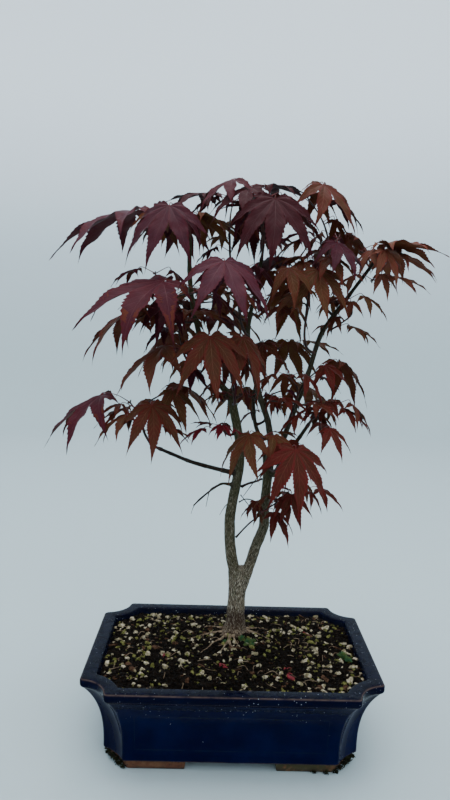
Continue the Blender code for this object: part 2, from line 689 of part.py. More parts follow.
class Grower:
    """Grows one mass: a stem, twigs, and opposite pairs of leaves on petioles."""

    def __init__(self, mass, branches, space):
        self.mass = mass
        self.branch = branches[mass.limb]
        self.space = space
        self.rule = random.Random(mass.seed)
        self.solids = []
        self.outer = []
        self.pairs = []
        self.leaf_count = 0

    def keep(self, solid):
        """Add a solid to the mass and to the space that others keep clear of."""
        self.solids.append(solid)
        return self.space.add(self.mass.name, *solid)

    def clear(self, solid, own=True):
        """True where a solid keeps clear of everything, or of all but its own mass."""
        return not self.space.touched(*solid, ignore=() if own else (self.mass.name,))

    def stray(self, leave, attempt):
        """A direction that strays further from the wanted one with each attempt."""
        wander = Vector((self.rule.uniform(-1, 1) for _ in range(3))) * STRAY * attempt / TRIES
        return (leave + wander).normalized()

    def fit(self, wanted, loose, node=None):
        """The first clear pose near the wanted one, hung from the node if one is given."""
        for attempt in range(TRIES):
            share = attempt / TRIES
            turn = wanted.bearing + self.rule.uniform(-loose, loose) * share
            fall = wanted.droop + self.rule.uniform(-loose, loose) * share * DROOP_PER_TURN
            roll = wanted.roll + self.rule.uniform(-LEAF_ROLL, LEAF_ROLL)
            span = wanted.span * (1 - LEAF_SHRINK * share)
            hub = wanted.hub
            if node:
                hub = node + direction(turn, PETIOLE_LIFT) * (PETIOLE_BASE + PETIOLE_PER_SPAN * span)
            pose = Pose(hub, turn, fall, span, roll)
            fat = pose.blade(CLEARANCE)
            if not inside_crown(fat[0]) or not self.clear(fat) or not self.clear(pose.blade()):
                continue
            if node and not self.clear(tube(pose.petiole(node), PETIOLE_RADII, CLEARANCE), own=False):
                continue
            return pose
        return None

    def place_outer(self):
        """Place the blades of the outer leaves."""
        for leaf in self.mass.leaves:
            hub = Vector((leaf.x, leaf.y, leaf.z)) * MM
            pose = self.fit(Pose(hub, leaf.bearing, leaf.droop, leaf.span * MM, leaf.roll), OUTER_LOOSE)
            if pose:
                self.outer.append((pose, self.space.add(self.mass.name, *pose.blade())))
            else:
                print(f"{self.mass.name}: no room for the leaf at {leaf.x}, {leaf.y}, {leaf.z}")

    def grow_stem(self):
        """Grow the stem from its limb towards the middle of the outer leaves."""
        hubs = [Vector((leaf.x, leaf.y, leaf.z)) * MM for leaf in self.mass.leaves]
        middle = sum(hubs, Vector()) / len(hubs)
        start, leave = self.branch.bud(self.mass.along, middle)
        self.end = start.lerp(middle, STEM_SHARE)
        foot = start + leave * LIMB_FOOT
        for attempt in range(TRIES):
            self.stem = [start, *curved(foot, self.stray(leave, attempt), self.end, 4)]
            if (self.clear(tube(self.stem[1:], STEM_RADII, CLEARANCE), own=False)
                    and self.clear(tube(self.stem, STEM_RADII), own=False)):
                break
        self.keep(tube(self.stem, STEM_RADII))

    def route(self, node, index, count):
        """Route of a twig from the stem to a node, or None where nothing is clear."""
        station = len(self.stem) - 1 - (count - 1 - index) % STATIONS
        onward = (self.stem[station] - self.stem[station - 1]).normalized()
        foot = self.stem[station] - onward * SINK
        steps = 3 if (node - foot).length > LONG_TWIG else 2
        for attempt in range(TRIES):
            path = curved(foot, self.stray(onward, attempt), node, steps)
            if self.clear(tube(path, TWIG_RADII, CLEARANCE), own=False):
                return path
        return None

    def grow_outer(self):
        """Grow a twig to each outer leaf, and drop the leaves that none can reach."""
        self.outer.sort(key=lambda placed: (placed[0].node() - self.stem[0]).length)
        for index, (pose, piece) in enumerate(self.outer):
            node = pose.node()
            petiole = pose.petiole(node)
            path = self.route(node, index, len(self.outer))
            if not path or not self.clear(tube(petiole, PETIOLE_RADII, CLEARANCE), own=False):
                self.space.drop(piece)
                print(f"{self.mass.name}: no way to the leaf at {pose.hub / MM}")
                continue
            self.solids.append(pose.blade())
            self.leaf_count += 1
            self.keep(tube(path + petiole[1:], (TWIG_RADII[0], PETIOLE_RADII[1])))
            self.pair(path, pose)

    def pair(self, path, pose):
        """Note where the leaf opposite a pose will grow."""
        across = pose.bearing + 180 + self.rule.choice((-1, 1)) * self.rule.uniform(*PAIR_TURN)
        span = pose.span * self.rule.uniform(*PAIR_SPAN)
        foot = path[-1] - (path[-1] - path[-2]).normalized() * SINK
        self.pairs.append((foot, Pose(pose.hub, across, self.rule.uniform(*PAIR_DROOP), span, 0)))

    def grow_pairs(self):
        """Grow the leaf opposite each leaf that has a twig."""
        for foot, wanted in self.pairs:
            pose = self.fit(wanted, PAIR_LOOSE, foot)
            if pose:
                self.keep(pose.blade())
                self.keep(tube(pose.petiole(foot), PETIOLE_RADII))
                self.leaf_count += 1
        self.pairs.clear()

    def grow_fillers(self):
        """Grow seeded twigs with a pair of leaves each, towards the back."""
        for index in range(self.mass.fill):
            bearing = 90 + FILLER_SPREAD * math.sin(FILLER_STEP * index + self.mass.seed)
            reach = self.rule.uniform(*FILLER_REACH)
            node = self.end + direction(bearing, self.rule.uniform(*FILLER_RISE)) * reach
            path = self.route(node, index, self.mass.fill)
            droop = self.rule.uniform(*FILLER_DROOP)
            wanted = Pose(node, bearing, droop, self.rule.uniform(*FILLER_SPAN), 0)
            pose = self.fit(wanted, FILLER_LOOSE, node) if path else None
            if pose:
                self.keep(pose.blade())
                self.keep(tube(path + pose.petiole(node)[1:], (TWIG_RADII[0], PETIOLE_RADII[1])))
                self.leaf_count += 1
                self.pair(path, pose)


def join_mass(name, solids, group, finish):
    """One closed solid from a mass's stem, twigs and leaves."""
    pieces = bpy.data.collections.new(f"{name}_pieces")
    bpy.context.scene.collection.children.link(pieces)
    things = []
    for index, (verts, faces) in enumerate(solids):
        shape = bmesh.new()
        corners = [shape.verts.new(v) for v in verts]
        for face in faces:
            shape.faces.new([corners[i] for i in face])
        home = group if index == 0 else pieces
        things.append(mesh_object(f"{name}_{index}" if index else name, shape, home, finish))
    whole = things[0]
    union = whole.modifiers.new("join", "BOOLEAN")
    union.operation = "UNION"
    union.operand_type = "COLLECTION"
    union.collection = pieces
    union.solver = SOLVER
    bpy.context.view_layer.update()
    depsgraph = bpy.context.evaluated_depsgraph_get()
    joined = bpy.data.meshes.new_from_object(whole.evaluated_get(depsgraph))
    whole.modifiers.clear()
    whole.data = joined
    joined.name = name
    for thing in things[1:]:
        bpy.data.objects.remove(thing, do_unlink=True)
    bpy.data.collections.remove(pieces)
    keep_largest_body(joined)
    return whole


def keep_largest_body(mesh):
    """Drop loose scraps and sealed hollows, leaving the one outer body."""
    shape = bmesh.new()
    shape.from_mesh(mesh)
    left, bodies = set(shape.verts), []
    while left:
        body, edge = set(), [left.pop()]
        while edge:
            vert = edge.pop()
            body.add(vert)
            near = {e.other_vert(vert) for e in vert.link_edges} & left
            left -= near
            edge += near
        bodies.append(body)
    largest = max(bodies, key=len)
    bmesh.ops.delete(shape, geom=[v for v in shape.verts if v not in largest], context="VERTS")
    shape.to_mesh(mesh)
    shape.free()


def main():
    """Build the whole plant in its pot."""
    clear_scene()
    bonsai = bpy.data.collections.new("japanese_maple_bonsai")
    cutters = bpy.data.collections.new("cutters")
    for group in (bonsai, cutters):
        bpy.context.scene.collection.children.link(group)
    build_pot(bonsai, cutters)
    build_feet(bonsai)
    build_soil(bonsai)
    barks = {
        "old bark": material("stem bark", (0.15, 0.115, 0.08), 0.85),
        "green bark": material("green bark", (0.10, 0.10, 0.045), 0.75),
        "young bark": material("young bark", (0.12, 0.05, 0.035), 0.6),
    }
    carriers, branches = [build_trunk(bonsai)], {}
    for limb in LIMBS:
        branches[limb.name] = Branch(limb, branches)
        carriers.append(build_limb(limb, branches[limb.name], bonsai, barks))
    space = Space()
    bpy.context.view_layer.update()
    depsgraph = bpy.context.evaluated_depsgraph_get()
    for thing in carriers:
        solid = bpy.data.meshes.new_from_object(thing.evaluated_get(depsgraph))
        verts = [thing.matrix_world @ vert.co for vert in solid.vertices]
        space.add(thing.name, verts, [tuple(face.vertices) for face in solid.polygons])
        bpy.data.meshes.remove(solid)
    leaf_finish = material("maple leaves", (0.075, 0.022, 0.030), 0.55)
    growers = [Grower(mass, branches, space) for mass in MASSES]
    for stage in (Grower.place_outer, Grower.grow_stem, Grower.grow_outer, Grower.grow_pairs,
                  Grower.grow_fillers, Grower.grow_pairs):
        for grower in growers:
            stage(grower)
    for grower in growers:
        join_mass(grower.mass.name, grower.solids, bonsai, leaf_finish)
        print(f"{grower.mass.name}: {grower.leaf_count} leaves")


main()
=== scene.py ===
"""Looks of a Japanese maple bonsai in a dark blue glazed pot with notched corners.

Everything is in metres, +Z up, with the origin on the ground under the middle of the
pot.  The pot and its feet, the wood, the twigs and the leaves are made again here in
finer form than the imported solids.  The twigs and leaves grow by the same seeded rule
as the solids, from the same limbs, and go on to finer shoots.
"""

import json
import logging
import math
import random
from dataclasses import dataclass
from enum import Enum
from typing import Callable, Iterable, Iterator, Sequence

import bmesh
import bpy
import numpy as np
from bmesh.types import BMesh
from bpy.types import Material, Mesh, NodeSocket, Object
from mathutils import Matrix, Vector, noise
from mathutils.bvhtree import BVHTree
from mathutils.kdtree import KDTree

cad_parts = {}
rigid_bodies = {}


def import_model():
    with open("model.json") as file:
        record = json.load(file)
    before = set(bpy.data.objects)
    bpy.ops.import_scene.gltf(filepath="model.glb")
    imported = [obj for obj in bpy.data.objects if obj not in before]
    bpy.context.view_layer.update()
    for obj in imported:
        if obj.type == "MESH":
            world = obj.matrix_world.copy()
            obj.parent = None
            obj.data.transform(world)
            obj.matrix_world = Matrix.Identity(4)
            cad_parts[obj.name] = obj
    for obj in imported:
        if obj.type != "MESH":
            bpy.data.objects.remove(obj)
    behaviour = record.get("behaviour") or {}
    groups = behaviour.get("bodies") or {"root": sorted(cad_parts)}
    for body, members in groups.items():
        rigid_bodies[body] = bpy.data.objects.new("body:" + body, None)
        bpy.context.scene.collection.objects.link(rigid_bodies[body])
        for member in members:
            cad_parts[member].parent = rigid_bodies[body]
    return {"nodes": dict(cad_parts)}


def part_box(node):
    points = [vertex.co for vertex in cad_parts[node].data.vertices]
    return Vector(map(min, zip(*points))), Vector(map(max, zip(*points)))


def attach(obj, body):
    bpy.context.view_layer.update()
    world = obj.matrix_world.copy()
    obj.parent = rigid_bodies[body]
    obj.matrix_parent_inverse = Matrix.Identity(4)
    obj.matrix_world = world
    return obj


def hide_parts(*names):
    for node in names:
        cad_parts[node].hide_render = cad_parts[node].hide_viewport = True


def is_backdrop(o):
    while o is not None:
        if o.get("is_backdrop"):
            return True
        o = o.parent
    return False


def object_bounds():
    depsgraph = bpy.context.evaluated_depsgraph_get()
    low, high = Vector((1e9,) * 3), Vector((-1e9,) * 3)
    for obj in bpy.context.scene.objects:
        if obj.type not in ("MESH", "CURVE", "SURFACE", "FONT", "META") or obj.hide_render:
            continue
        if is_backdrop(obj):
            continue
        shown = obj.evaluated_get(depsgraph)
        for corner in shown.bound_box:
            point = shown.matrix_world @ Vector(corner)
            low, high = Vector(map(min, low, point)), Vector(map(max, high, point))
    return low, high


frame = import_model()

LOG = logging.getLogger("bonsai")
MM = 0.001
CAD_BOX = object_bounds()
BODY = "root"
NOISE_SEED = 5
POT_SLOT, FOOT_SLOT, SOIL_SLOT, BARK_SLOT = "blue_glaze", "terracotta", "compost", "bark"
TWIG_SLOT, LEAF_SLOT = "young_bark", "leaves"

Pair = tuple[float, float]
Triple = tuple[float, float, float]
Colour = Triple
Solid = tuple[list[Vector], list[tuple[int, ...]]]


# ---------------- shader bench


def operator(operation: str, swapped: bool = False) -> Callable[["Signal", "Signal | float"], "Signal"]:
    """Make the method behind an operator of a Signal.

    Args:
        operation: The Math node's operation.
        swapped: Whether the other value comes first.

    Returns:
        The method.
    """

    def act(self: "Signal", other: "Signal | float") -> "Signal":
        """Result of the operator's Math node."""
        return self.math(operation, *((other, self) if swapped else (self, other)))

    return act


@dataclass(frozen=True)
class Signal:
    """A value socket: an operator used on it adds the Math node for it."""

    bench: "Bench"
    socket: NodeSocket
    __add__, __radd__ = operator("ADD"), operator("ADD", True)
    __sub__, __rsub__ = operator("SUBTRACT"), operator("SUBTRACT", True)
    __mul__, __rmul__ = operator("MULTIPLY"), operator("MULTIPLY", True)
    __lt__ = operator("LESS_THAN")

    def math(self, operation: str, *operands: "Signal | float") -> "Signal":
        """Result of a Math node with these operands."""
        return self.bench.signal("ShaderNodeMath", {"operation": operation}, dict(enumerate(operands)))

    def sine(self) -> "Signal":
        """Sine of the value in radians."""
        return self.math("SINE", self)

    def between(self, low: float, high: float) -> "Signal":
        """Nought at low and below, one at high and above, smooth in between."""
        return self.bench.signal("ShaderNodeMapRange", {"interpolation_type": "SMOOTHSTEP"},
                                 {"Value": self, "From Min": low, "From Max": high})


class Bench:
    """The node tree of one material, and the few ways in which nodes are added to it."""

    def __init__(self, name: str) -> None:
        """Start a material with its Principled shader.

        Args:
            name: The material's name.
        """
        self.material = bpy.data.materials.new(name)
        self.material.use_nodes = True
        self.tree = self.material.node_tree
        self.surface = self.tree.nodes["Principled BSDF"]

    def feed(self, socket: NodeSocket, value: object) -> None:
        """Link a signal or socket to an input, or set the input to a plain value.

        Args:
            socket: The input.
            value: A Signal, a socket, a number or a tuple.
        """
        if isinstance(value, Signal):
            value = value.socket
        if isinstance(value, NodeSocket):
            self.tree.links.new(value, socket)
        else:
            socket.default_value = value

    def node(self, kind: str, settings: dict | None = None, inputs: dict | None = None) -> bpy.types.Node:
        """Add a node.

        Args:
            kind: The node's type.
            settings: Its properties.
            inputs: Values or links for its sockets, by name or number.

        Returns:
            The new node.
        """
        made = self.tree.nodes.new(kind)
        for name, value in (settings or {}).items():
            setattr(made, name, value)
        for name, value in (inputs or {}).items():
            self.feed(made.inputs[name], value)
        return made

    def signal(self, kind: str, settings: dict | None = None, inputs: dict | None = None) -> Signal:
        """First output of a new node."""
        return Signal(self, self.node(kind, settings, inputs).outputs[0])

    def place(self) -> NodeSocket:
        """Object coordinates, which are metres in the part's frame."""
        return self.node("ShaderNodeTexCoord").outputs["Object"]

    def level(self) -> Signal:
        """Height above the ground, in metres."""
        return Signal(self, self.node("ShaderNodeSeparateXYZ", None, {0: self.place()}).outputs["Z"])

    def own(self, name: str, output: str = "Fac") -> Signal:
        """An attribute that the points of the piece carry."""
        return Signal(self, self.node("ShaderNodeAttribute", {"attribute_name": name}).outputs[output])

    def stretched(self, vector: NodeSocket, scale: Sequence[float]) -> NodeSocket:
        """Coordinates scaled along each axis."""
        return self.node("ShaderNodeMapping", None, {"Vector": vector, "Scale": tuple(scale)}).outputs[0]

    def cloud(self, vector: NodeSocket, scale: float, detail: float = 3.0,
              roughness: float = 0.55) -> Signal:
        """Noise from nought to one, by cells per unit, octaves and the finer octaves' strength."""
        inputs = {"Vector": vector, "Scale": scale, "Detail": detail, "Roughness": roughness}
        return self.signal("ShaderNodeTexNoise", None, inputs)

    def flecks(self, vector: NodeSocket, scale: float, size: float, share: float) -> Signal:
        """Round flecks, one in some of the cells of a Voronoi pattern.

        Args:
            vector: Coordinates to read it at.
            scale: Cells per unit of the coordinates.
            size: A fleck's radius, in cells.
            share: The share of cells that have one.

        Returns:
            One inside a fleck, nought outside.
        """
        cells = self.node("ShaderNodeTexVoronoi", None, {"Vector": vector, "Scale": scale})
        chance = self.signal("ShaderNodeSeparateColor", None, {"Color": cells.outputs["Color"]})
        near = 1 - Signal(self, cells.outputs["Distance"]).between(size * 0.6, size)
        return near * (chance < share)

    def mix(self, factor: Signal | float, first: object, second: object) -> NodeSocket:
        """Mix two colours.

        Args:
            factor: Share of the second.
            first: A colour or a colour socket.
            second: A colour or a colour socket.

        Returns:
            The mixed colour.
        """
        first, second = ((*c, 1) if isinstance(c, tuple) else c for c in (first, second))
        made = self.node("ShaderNodeMix", {"data_type": "RGBA"}, {0: factor, 6: first, 7: second})
        return made.outputs[2]

    def relief(self, height: Signal, depth: float, strength: float = 1.0) -> None:
        """Give the surface a bump.

        Args:
            height: The relief, from nought to one.
            depth: What one stands for, in metres.
            strength: Share of the bump that is used.
        """
        inputs = {"Height": height, "Distance": depth, "Strength": strength}
        bump = self.node("ShaderNodeBump", None, inputs)
        self.feed(self.surface.inputs["Normal"], bump.outputs["Normal"])

    def dress(self, **values: object) -> Material:
        """Set or link the surface's sockets, whose names are given with _ for a space.

        Args:
            values: Value or link for each socket.

        Returns:
            The finished material.
        """
        for name, value in values.items():
            if isinstance(value, tuple):
                value = (*value, 1)
            self.feed(self.surface.inputs[name.replace("_", " ").title().replace("Ior", "IOR")], value)
        return self.material


# ---------------- finishes


@dataclass(frozen=True)
class NavyGlaze:
    """Thick glossy glaze, nearly black where deep, that breaks to brown on sharp edges."""

    deep: Colour = (0.0006, 0.0012, 0.017)
    shallow: Colour = (0.0012, 0.0034, 0.029)
    broken: Colour = (0.11, 0.072, 0.058)
    heavy: Colour = (0.0008, 0.0012, 0.0075)
    dusty: Colour = (0.0034, 0.004, 0.006)
    speck: Colour = (0.42, 0.47, 0.52)
    # Colour of the painted sheen along the edges of the sunk panels.
    painted_panel_sheen: Colour = (0.0045, 0.007, 0.022)

    def material(self) -> Material:
        """The glaze as a material; it reads the pot's "thin", "ledge" and "panel" attributes."""
        bench = Bench("navy glaze")
        place = bench.place()
        colour = bench.mix(bench.cloud(place, 28, 4).between(0.35, 0.75), self.deep, self.shallow)
        height = bench.level()
        colour = bench.mix(height.between(0.0655, 0.07) * 0.7, colour, self.heavy)
        # Lighter lines along the edges of the sunk panels: painted sheen, standing in for the glint on
        # their slopes.
        panel = bench.own("panel")
        painted_panel_sheen = panel.between(-0.2, 0.2) * (1 - panel.between(0.4, 1.1))
        colour = bench.mix(painted_panel_sheen * bench.cloud(place, 90, 3).between(0.25, 0.6), colour, self.painted_panel_sheen)
        dust = bench.own("ledge") * bench.cloud(place, 190, 5).between(0.25, 0.75)
        colour = bench.mix(dust * 0.75, colour, self.dusty)
        thin = bench.own("thin") * bench.cloud(place, 120, 3).between(0.2, 0.6)
        colour = bench.mix(thin, colour, self.broken)
        specks = bench.flecks(place, 300, 0.08, 0.06)
        specks = specks + bench.flecks(place, 560, 0.2, 0.15) * (
            height.between(0.046, 0.064) * bench.cloud(place, 26, 3).between(0.4, 0.6))
        colour = bench.mix(specks, colour, self.speck)
        rough = 0.09 + dust * 0.3 + thin * 0.12 + specks * 0.3
        bench.relief(bench.cloud(place, 60, 2) + bench.cloud(place, 900, 2) * 0.03, 0.5 * MM, 0.35)
        return bench.dress(base_color=colour, roughness=rough, specular_ior_level=0.035)


@dataclass(frozen=True)
class Terracotta:
    """Bare fired clay, stained, with as much moss as it is told, and darker along its foot: dirt and
    painted contact shadow.
    """

    mossiness: float
    clay: Colour = (0.1, 0.029, 0.01)
    pale: Colour = (0.15, 0.062, 0.026)
    # Colour of the stains, and of the dark band along the foot's base, which is partly painted contact
    # shadow.
    stain_and_painted_shadow: Colour = (0.03, 0.014, 0.009)
    moss: Colour = (0.034, 0.036, 0.009)

    def material(self) -> Material:
        """The clay as a material."""
        bench = Bench(f"terracotta {self.mossiness:.1f}")
        place = bench.place()
        colour = bench.mix(bench.cloud(place, 160, 4).between(0.3, 0.7), self.clay, self.pale)
        colour = bench.mix(bench.cloud(place, 420, 5).between(0.56, 0.72) * 0.8, colour, self.stain_and_painted_shadow)
        reach = bench.cloud(place, 95, 5, 0.65)
        green = reach.between(0.66 - 0.3 * self.mossiness, 0.74 - 0.24 * self.mossiness)
        colour = bench.mix(green * 0.9, colour, self.moss)
        height = bench.level()
        # Darker over the lowest few millimetres, in patches: dirt, and painted contact shadow where the
        # foot meets the ground.
        dirt_and_painted_shadow = 1 - height.between(0.0005, 0.0035 * self.mossiness + 0.0025)
        colour = bench.mix(dirt_and_painted_shadow * reach.between(0.4, 0.55) * 0.85, colour, self.stain_and_painted_shadow)
        bench.relief(bench.cloud(place, 1500, 3) + green * bench.cloud(place, 700, 2), 0.5 * MM)
        return bench.dress(base_color=colour, roughness=0.92)


@dataclass(frozen=True)
class Bark:
    """Bark that is grey-brown and streaked when old, green or dark red when young."""

    grey: Colour = (0.172, 0.133, 0.09)
    fissure: Colour = (0.018, 0.011, 0.008)
    streak: Colour = (0.6, 0.525, 0.415)
    green: Colour = (0.03, 0.03, 0.008)
    red: Colour = (0.015, 0.008, 0.006)
    lichen: Colour = (0.15, 0.16, 0.095)
    damp: Colour = (0.04, 0.02, 0.013)
    ridge: Colour = (0.33, 0.245, 0.16)

    def material(self) -> Material:
        """The bark as a material; it reads "grain", "green" and "youth" of the wood."""
        bench = Bench("maple bark")
        grain = bench.own("grain", "Vector").socket
        furrow = bench.cloud(bench.stretched(grain, (1300, 1300, 210)), 1.0, 4, 0.65)
        patch = bench.cloud(bench.stretched(grain, (260, 260, 60)), 1.0, 3)
        old = bench.mix(furrow.between(0.38, 0.6), self.fissure, self.grey)
        old = bench.mix(patch.between(0.55, 0.75) * 0.35, old, self.lichen)
        streaks = bench.cloud(bench.stretched(grain, (2100, 2100, 330)), 1.0, 3, 0.6).between(0.54, 0.63)
        old = bench.mix(streaks * 0.8, old, self.streak)
        height = bench.level()
        foot = 1 - (height + patch * 0.008 - 0.004).between(0.096, 0.107)
        old = bench.mix(foot * (0.9 - streaks * 0.5), old, self.damp)
        collar = 1 - height.between(0.08, 0.092)
        old = bench.mix(collar * furrow.between(0.5, 0.62) * 0.75, old, self.ridge)
        youth = bench.own("youth")
        green = bench.own("green") * patch.between(0.25, 0.55)
        young = bench.mix(bench.own("green"), self.red, self.green)
        young = bench.mix(furrow.between(0.55, 0.75) * 0.35, young, self.fissure)
        dots = bench.flecks(bench.stretched(grain, (900, 900, 420)), 1.0, 0.22, 0.25)
        young = bench.mix(dots * 0.22, young, self.streak)
        colour = bench.mix(youth, bench.mix(green * 0.6, old, self.green), young)
        bench.relief(furrow + streaks * 0.35 + dots * 0.2, 0.55 * MM, 0.8)
        return bench.dress(base_color=colour, roughness=0.78 - youth * 0.3, specular_ior_level=0.12)


@dataclass(frozen=True)
class Shoot:
    """Skin of twigs, stalks, buds, fine roots and moss: one colour that wanders a little."""

    name: str
    skin: Colour
    dark: Colour
    roughness: float = 0.45

    def material(self) -> Material:
        """The skin as a material."""
        bench = Bench(self.name)
        place = bench.place()
        colour = bench.mix(bench.cloud(place, 260, 4).between(0.35, 0.65), self.skin, self.dark)
        bench.relief(bench.cloud(place, 1600, 3), 0.15 * MM, 0.6)
        return bench.dress(base_color=colour, roughness=self.roughness, specular_ior_level=0.15)


@dataclass(frozen=True)
class LeafSkin:
    """One face of the leaves of one tint, veined from the blade's own map."""

    name: str
    flesh: Colour
    edge: Colour
    vein: Colour
    roughness: float = 0.52
    gloss: float = 0.05
    depth: float = 0.35 * MM

    def material(self) -> Material:
        """The leaf's skin as a material; "blade" has the place beside a lobe's rib and along it."""
        bench = Bench(self.name)
        place = bench.place()
        blade = bench.node("ShaderNodeUVMap", {"uv_map": "blade"}).outputs[0]
        axes = bench.node("ShaderNodeSeparateXYZ", None, {0: blade}).outputs
        along, side = Signal(bench, axes["Y"]), Signal(bench, axes["X"])
        veins = ((along * 62 - side * 15).sine() * 0.5 + 0.5).between(0.86, 1.0) * side.between(0.04, 0.2)
        tone = bench.cloud(place, 75, 4).between(0.3, 0.72)
        colour = bench.mix(tone * 0.5, self.flesh, self.edge)
        colour = bench.mix(side.between(0.62, 0.98) * 0.75, colour, self.edge)
        colour = bench.mix(along.between(0.7, 1.0) * 0.65, colour, self.edge)
        colour = bench.mix(veins * 0.25, colour, self.vein)
        quilt = bench.cloud(place, 900, 3) * 0.4 + veins * -0.5
        bench.relief(quilt, self.depth, 0.7)
        rough = self.roughness + bench.cloud(place, 300, 3) * 0.16 - 0.08
        return bench.dress(base_color=colour, roughness=rough, specular_ior_level=self.gloss)


@dataclass(frozen=True)
class Grit:
    """Loose matter on the compost: one colour that changes from grain to grain."""

    name: str
    body: Colour
    pale: Colour
    dark: Colour
    spread: float = 330.0

    def material(self) -> Material:
        """The grains' surface as a material."""
        bench = Bench(self.name)
        place = bench.place()
        colour = bench.mix(bench.cloud(place, self.spread, 2).between(0.4, 0.62), self.body, self.pale)
        colour = bench.mix(bench.cloud(place, 1400, 4).between(0.52, 0.7) * 0.8, colour, self.dark)
        bench.relief(bench.cloud(place, 2600, 4), 0.5 * MM)
        return bench.dress(base_color=colour, roughness=0.93, specular_ior_level=0.08)


@dataclass(frozen=True)
class Compost:
    """Moist black compost between the grit."""

    black: Colour = (0.0025, 0.0018, 0.0014)
    brown: Colour = (0.009, 0.0055, 0.0036)

    def material(self) -> Material:
        """The compost as a material."""
        bench = Bench("black compost")
        place = bench.place()
        crumbs = bench.cloud(place, 420, 6, 0.7)
        colour = bench.mix(crumbs.between(0.42, 0.7), self.black, self.brown)
        bench.relief(crumbs, 2.0 * MM)
        return bench.dress(base_color=colour, roughness=0.88, specular_ior_level=0.08)


class LeafTint(Enum):
    """The tints that are dealt out among the sprays: flesh, edge, underside and vein. Several hold painted
    light and shade, as noted at each.
    """

    # A darker copy of the purple tint, for the leaves at the top: painted shade.
    DUSK = ((0.029, 0.0062, 0.0085), (0.04, 0.005, 0.008), (0.04, 0.009, 0.0095), (0.04, 0.0095, 0.013))
    PURPLE = ((0.038, 0.01, 0.016), (0.054, 0.0065, 0.012), (0.054, 0.0125, 0.013), (0.047, 0.013, 0.021))
    # A lighter copy of the purple tint: painted sheen, the bright sky reflected on the upper faces.
    MAUVE = ((0.051, 0.015, 0.023), (0.064, 0.0085, 0.015), (0.066, 0.016, 0.017), (0.064, 0.019, 0.029))
    PLUM = ((0.042, 0.0085, 0.014), (0.062, 0.007, 0.012), (0.085, 0.021, 0.01), (0.054, 0.012, 0.017))
    # Russet leaves, made a little lighter for the shaded masses: their own colour with some painted glow of
    # light through them.
    RUSSET = ((0.053, 0.021, 0.0105), (0.092, 0.009, 0.0092), (0.094, 0.032, 0.012), (0.122, 0.058, 0.025))
    # Bright orange for leaves deep in shade: painted glow of light shining through the leaves.
    EMBER = ((0.084, 0.035, 0.019), (0.12, 0.018, 0.015), (0.13, 0.044, 0.018), (0.118, 0.054, 0.026))
    WINE = ((0.049, 0.0125, 0.0074), (0.1, 0.0078, 0.0094), (0.088, 0.019, 0.011), (0.11, 0.038, 0.017))
    # Bronze leaves, made lighter for the shaded inner masses: their own colour with painted glow of light
    # through them.
    BRONZE = ((0.062, 0.03, 0.013), (0.1, 0.015, 0.011), (0.11, 0.047, 0.014), (0.145, 0.08, 0.033))
    CRIMSON = ((0.105, 0.009, 0.013), (0.155, 0.009, 0.019), (0.125, 0.016, 0.013), (0.14, 0.02, 0.02))

    def skins(self) -> list[Material]:
        """Materials of the upper face, the underside and the ribs."""
        flesh, edge, under, vein = self.value
        name = self.name.lower()
        return [LeafSkin(f"{name} leaf", flesh, edge, vein).material(),
                LeafSkin(f"{name} leaf underside", under, edge, vein, 0.62).material(),
                Shoot(f"{name} leaf rib", vein, edge, 0.5).material()]


# ---------------- mesh tools


@dataclass(frozen=True)
class Piece:
    """A finished mesh with its finishes, its slot, and the CAD nodes it stands for."""

    name: str
    mesh: Mesh
    finishes: Sequence[Material]
    slot: str
    stands_for: Sequence[str] = ()

    def show(self) -> None:
        """Put the piece in the scene and on the body."""
        for finish in self.finishes:
            self.mesh.materials.append(finish)
        thing = placed(self.name, self.mesh)
        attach(thing, BODY)
        if self.stands_for:
            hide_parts(*self.stands_for)
        triangles = sum(len(face.vertices) - 2 for face in self.mesh.polygons)
        LOG.info("%s: %d triangles", self.name, triangles)


def placed(name: str, data: bpy.types.ID) -> Object:
    """Put something in the scene.

    Args:
        name: The object's name.
        data: Its mesh, lamp or camera.

    Returns:
        The object.
    """
    thing = bpy.data.objects.new(name, data)
    bpy.context.scene.collection.objects.link(thing)
    return thing


def applied(blank: Object, *tools: Object) -> Mesh:
    """Work out an object's modifiers, and take it and its tools away.

    Args:
        blank: The object with the modifiers.
        tools: Objects that its modifiers use.

    Returns:
        The mesh that the modifiers give.
    """
    bpy.context.view_layer.update()
    graph = bpy.context.evaluated_depsgraph_get()
    mesh = bpy.data.meshes.new_from_object(blank.evaluated_get(graph))
    for thing in (blank, *tools):
        bpy.data.objects.remove(thing, do_unlink=True)
    return mesh


def packed(name: str) -> Solid:
    """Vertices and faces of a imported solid."""
    mesh = frame["nodes"][name].data
    return [vert.co.copy() for vert in mesh.vertices], [tuple(face.vertices) for face in mesh.polygons]


def softened(mesh: Mesh, sharp: float) -> Mesh:
    """Make a mesh smooth but for its sharp edges.

    Args:
        mesh: The mesh, changed in place.
        sharp: The angle in degrees above which an edge stays sharp.

    Returns:
        The same mesh.
    """
    mesh.shade_smooth()
    mesh.set_sharp_from_angle(angle=math.radians(sharp))
    return mesh


def settled(shape: BMesh, name: str, sharp: float = 40.0) -> Mesh:
    """Turn a bmesh into a mesh that faces outward and is smooth below an angle.

    Args:
        shape: The bmesh, which is freed.
        name: The mesh's name.
        sharp: The angle in degrees above which an edge stays sharp.

    Returns:
        The mesh.
    """
    bmesh.ops.recalc_face_normals(shape, faces=shape.faces)
    mesh = bpy.data.meshes.new(name)
    shape.to_mesh(mesh)
    shape.free()
    return softened(mesh, sharp)


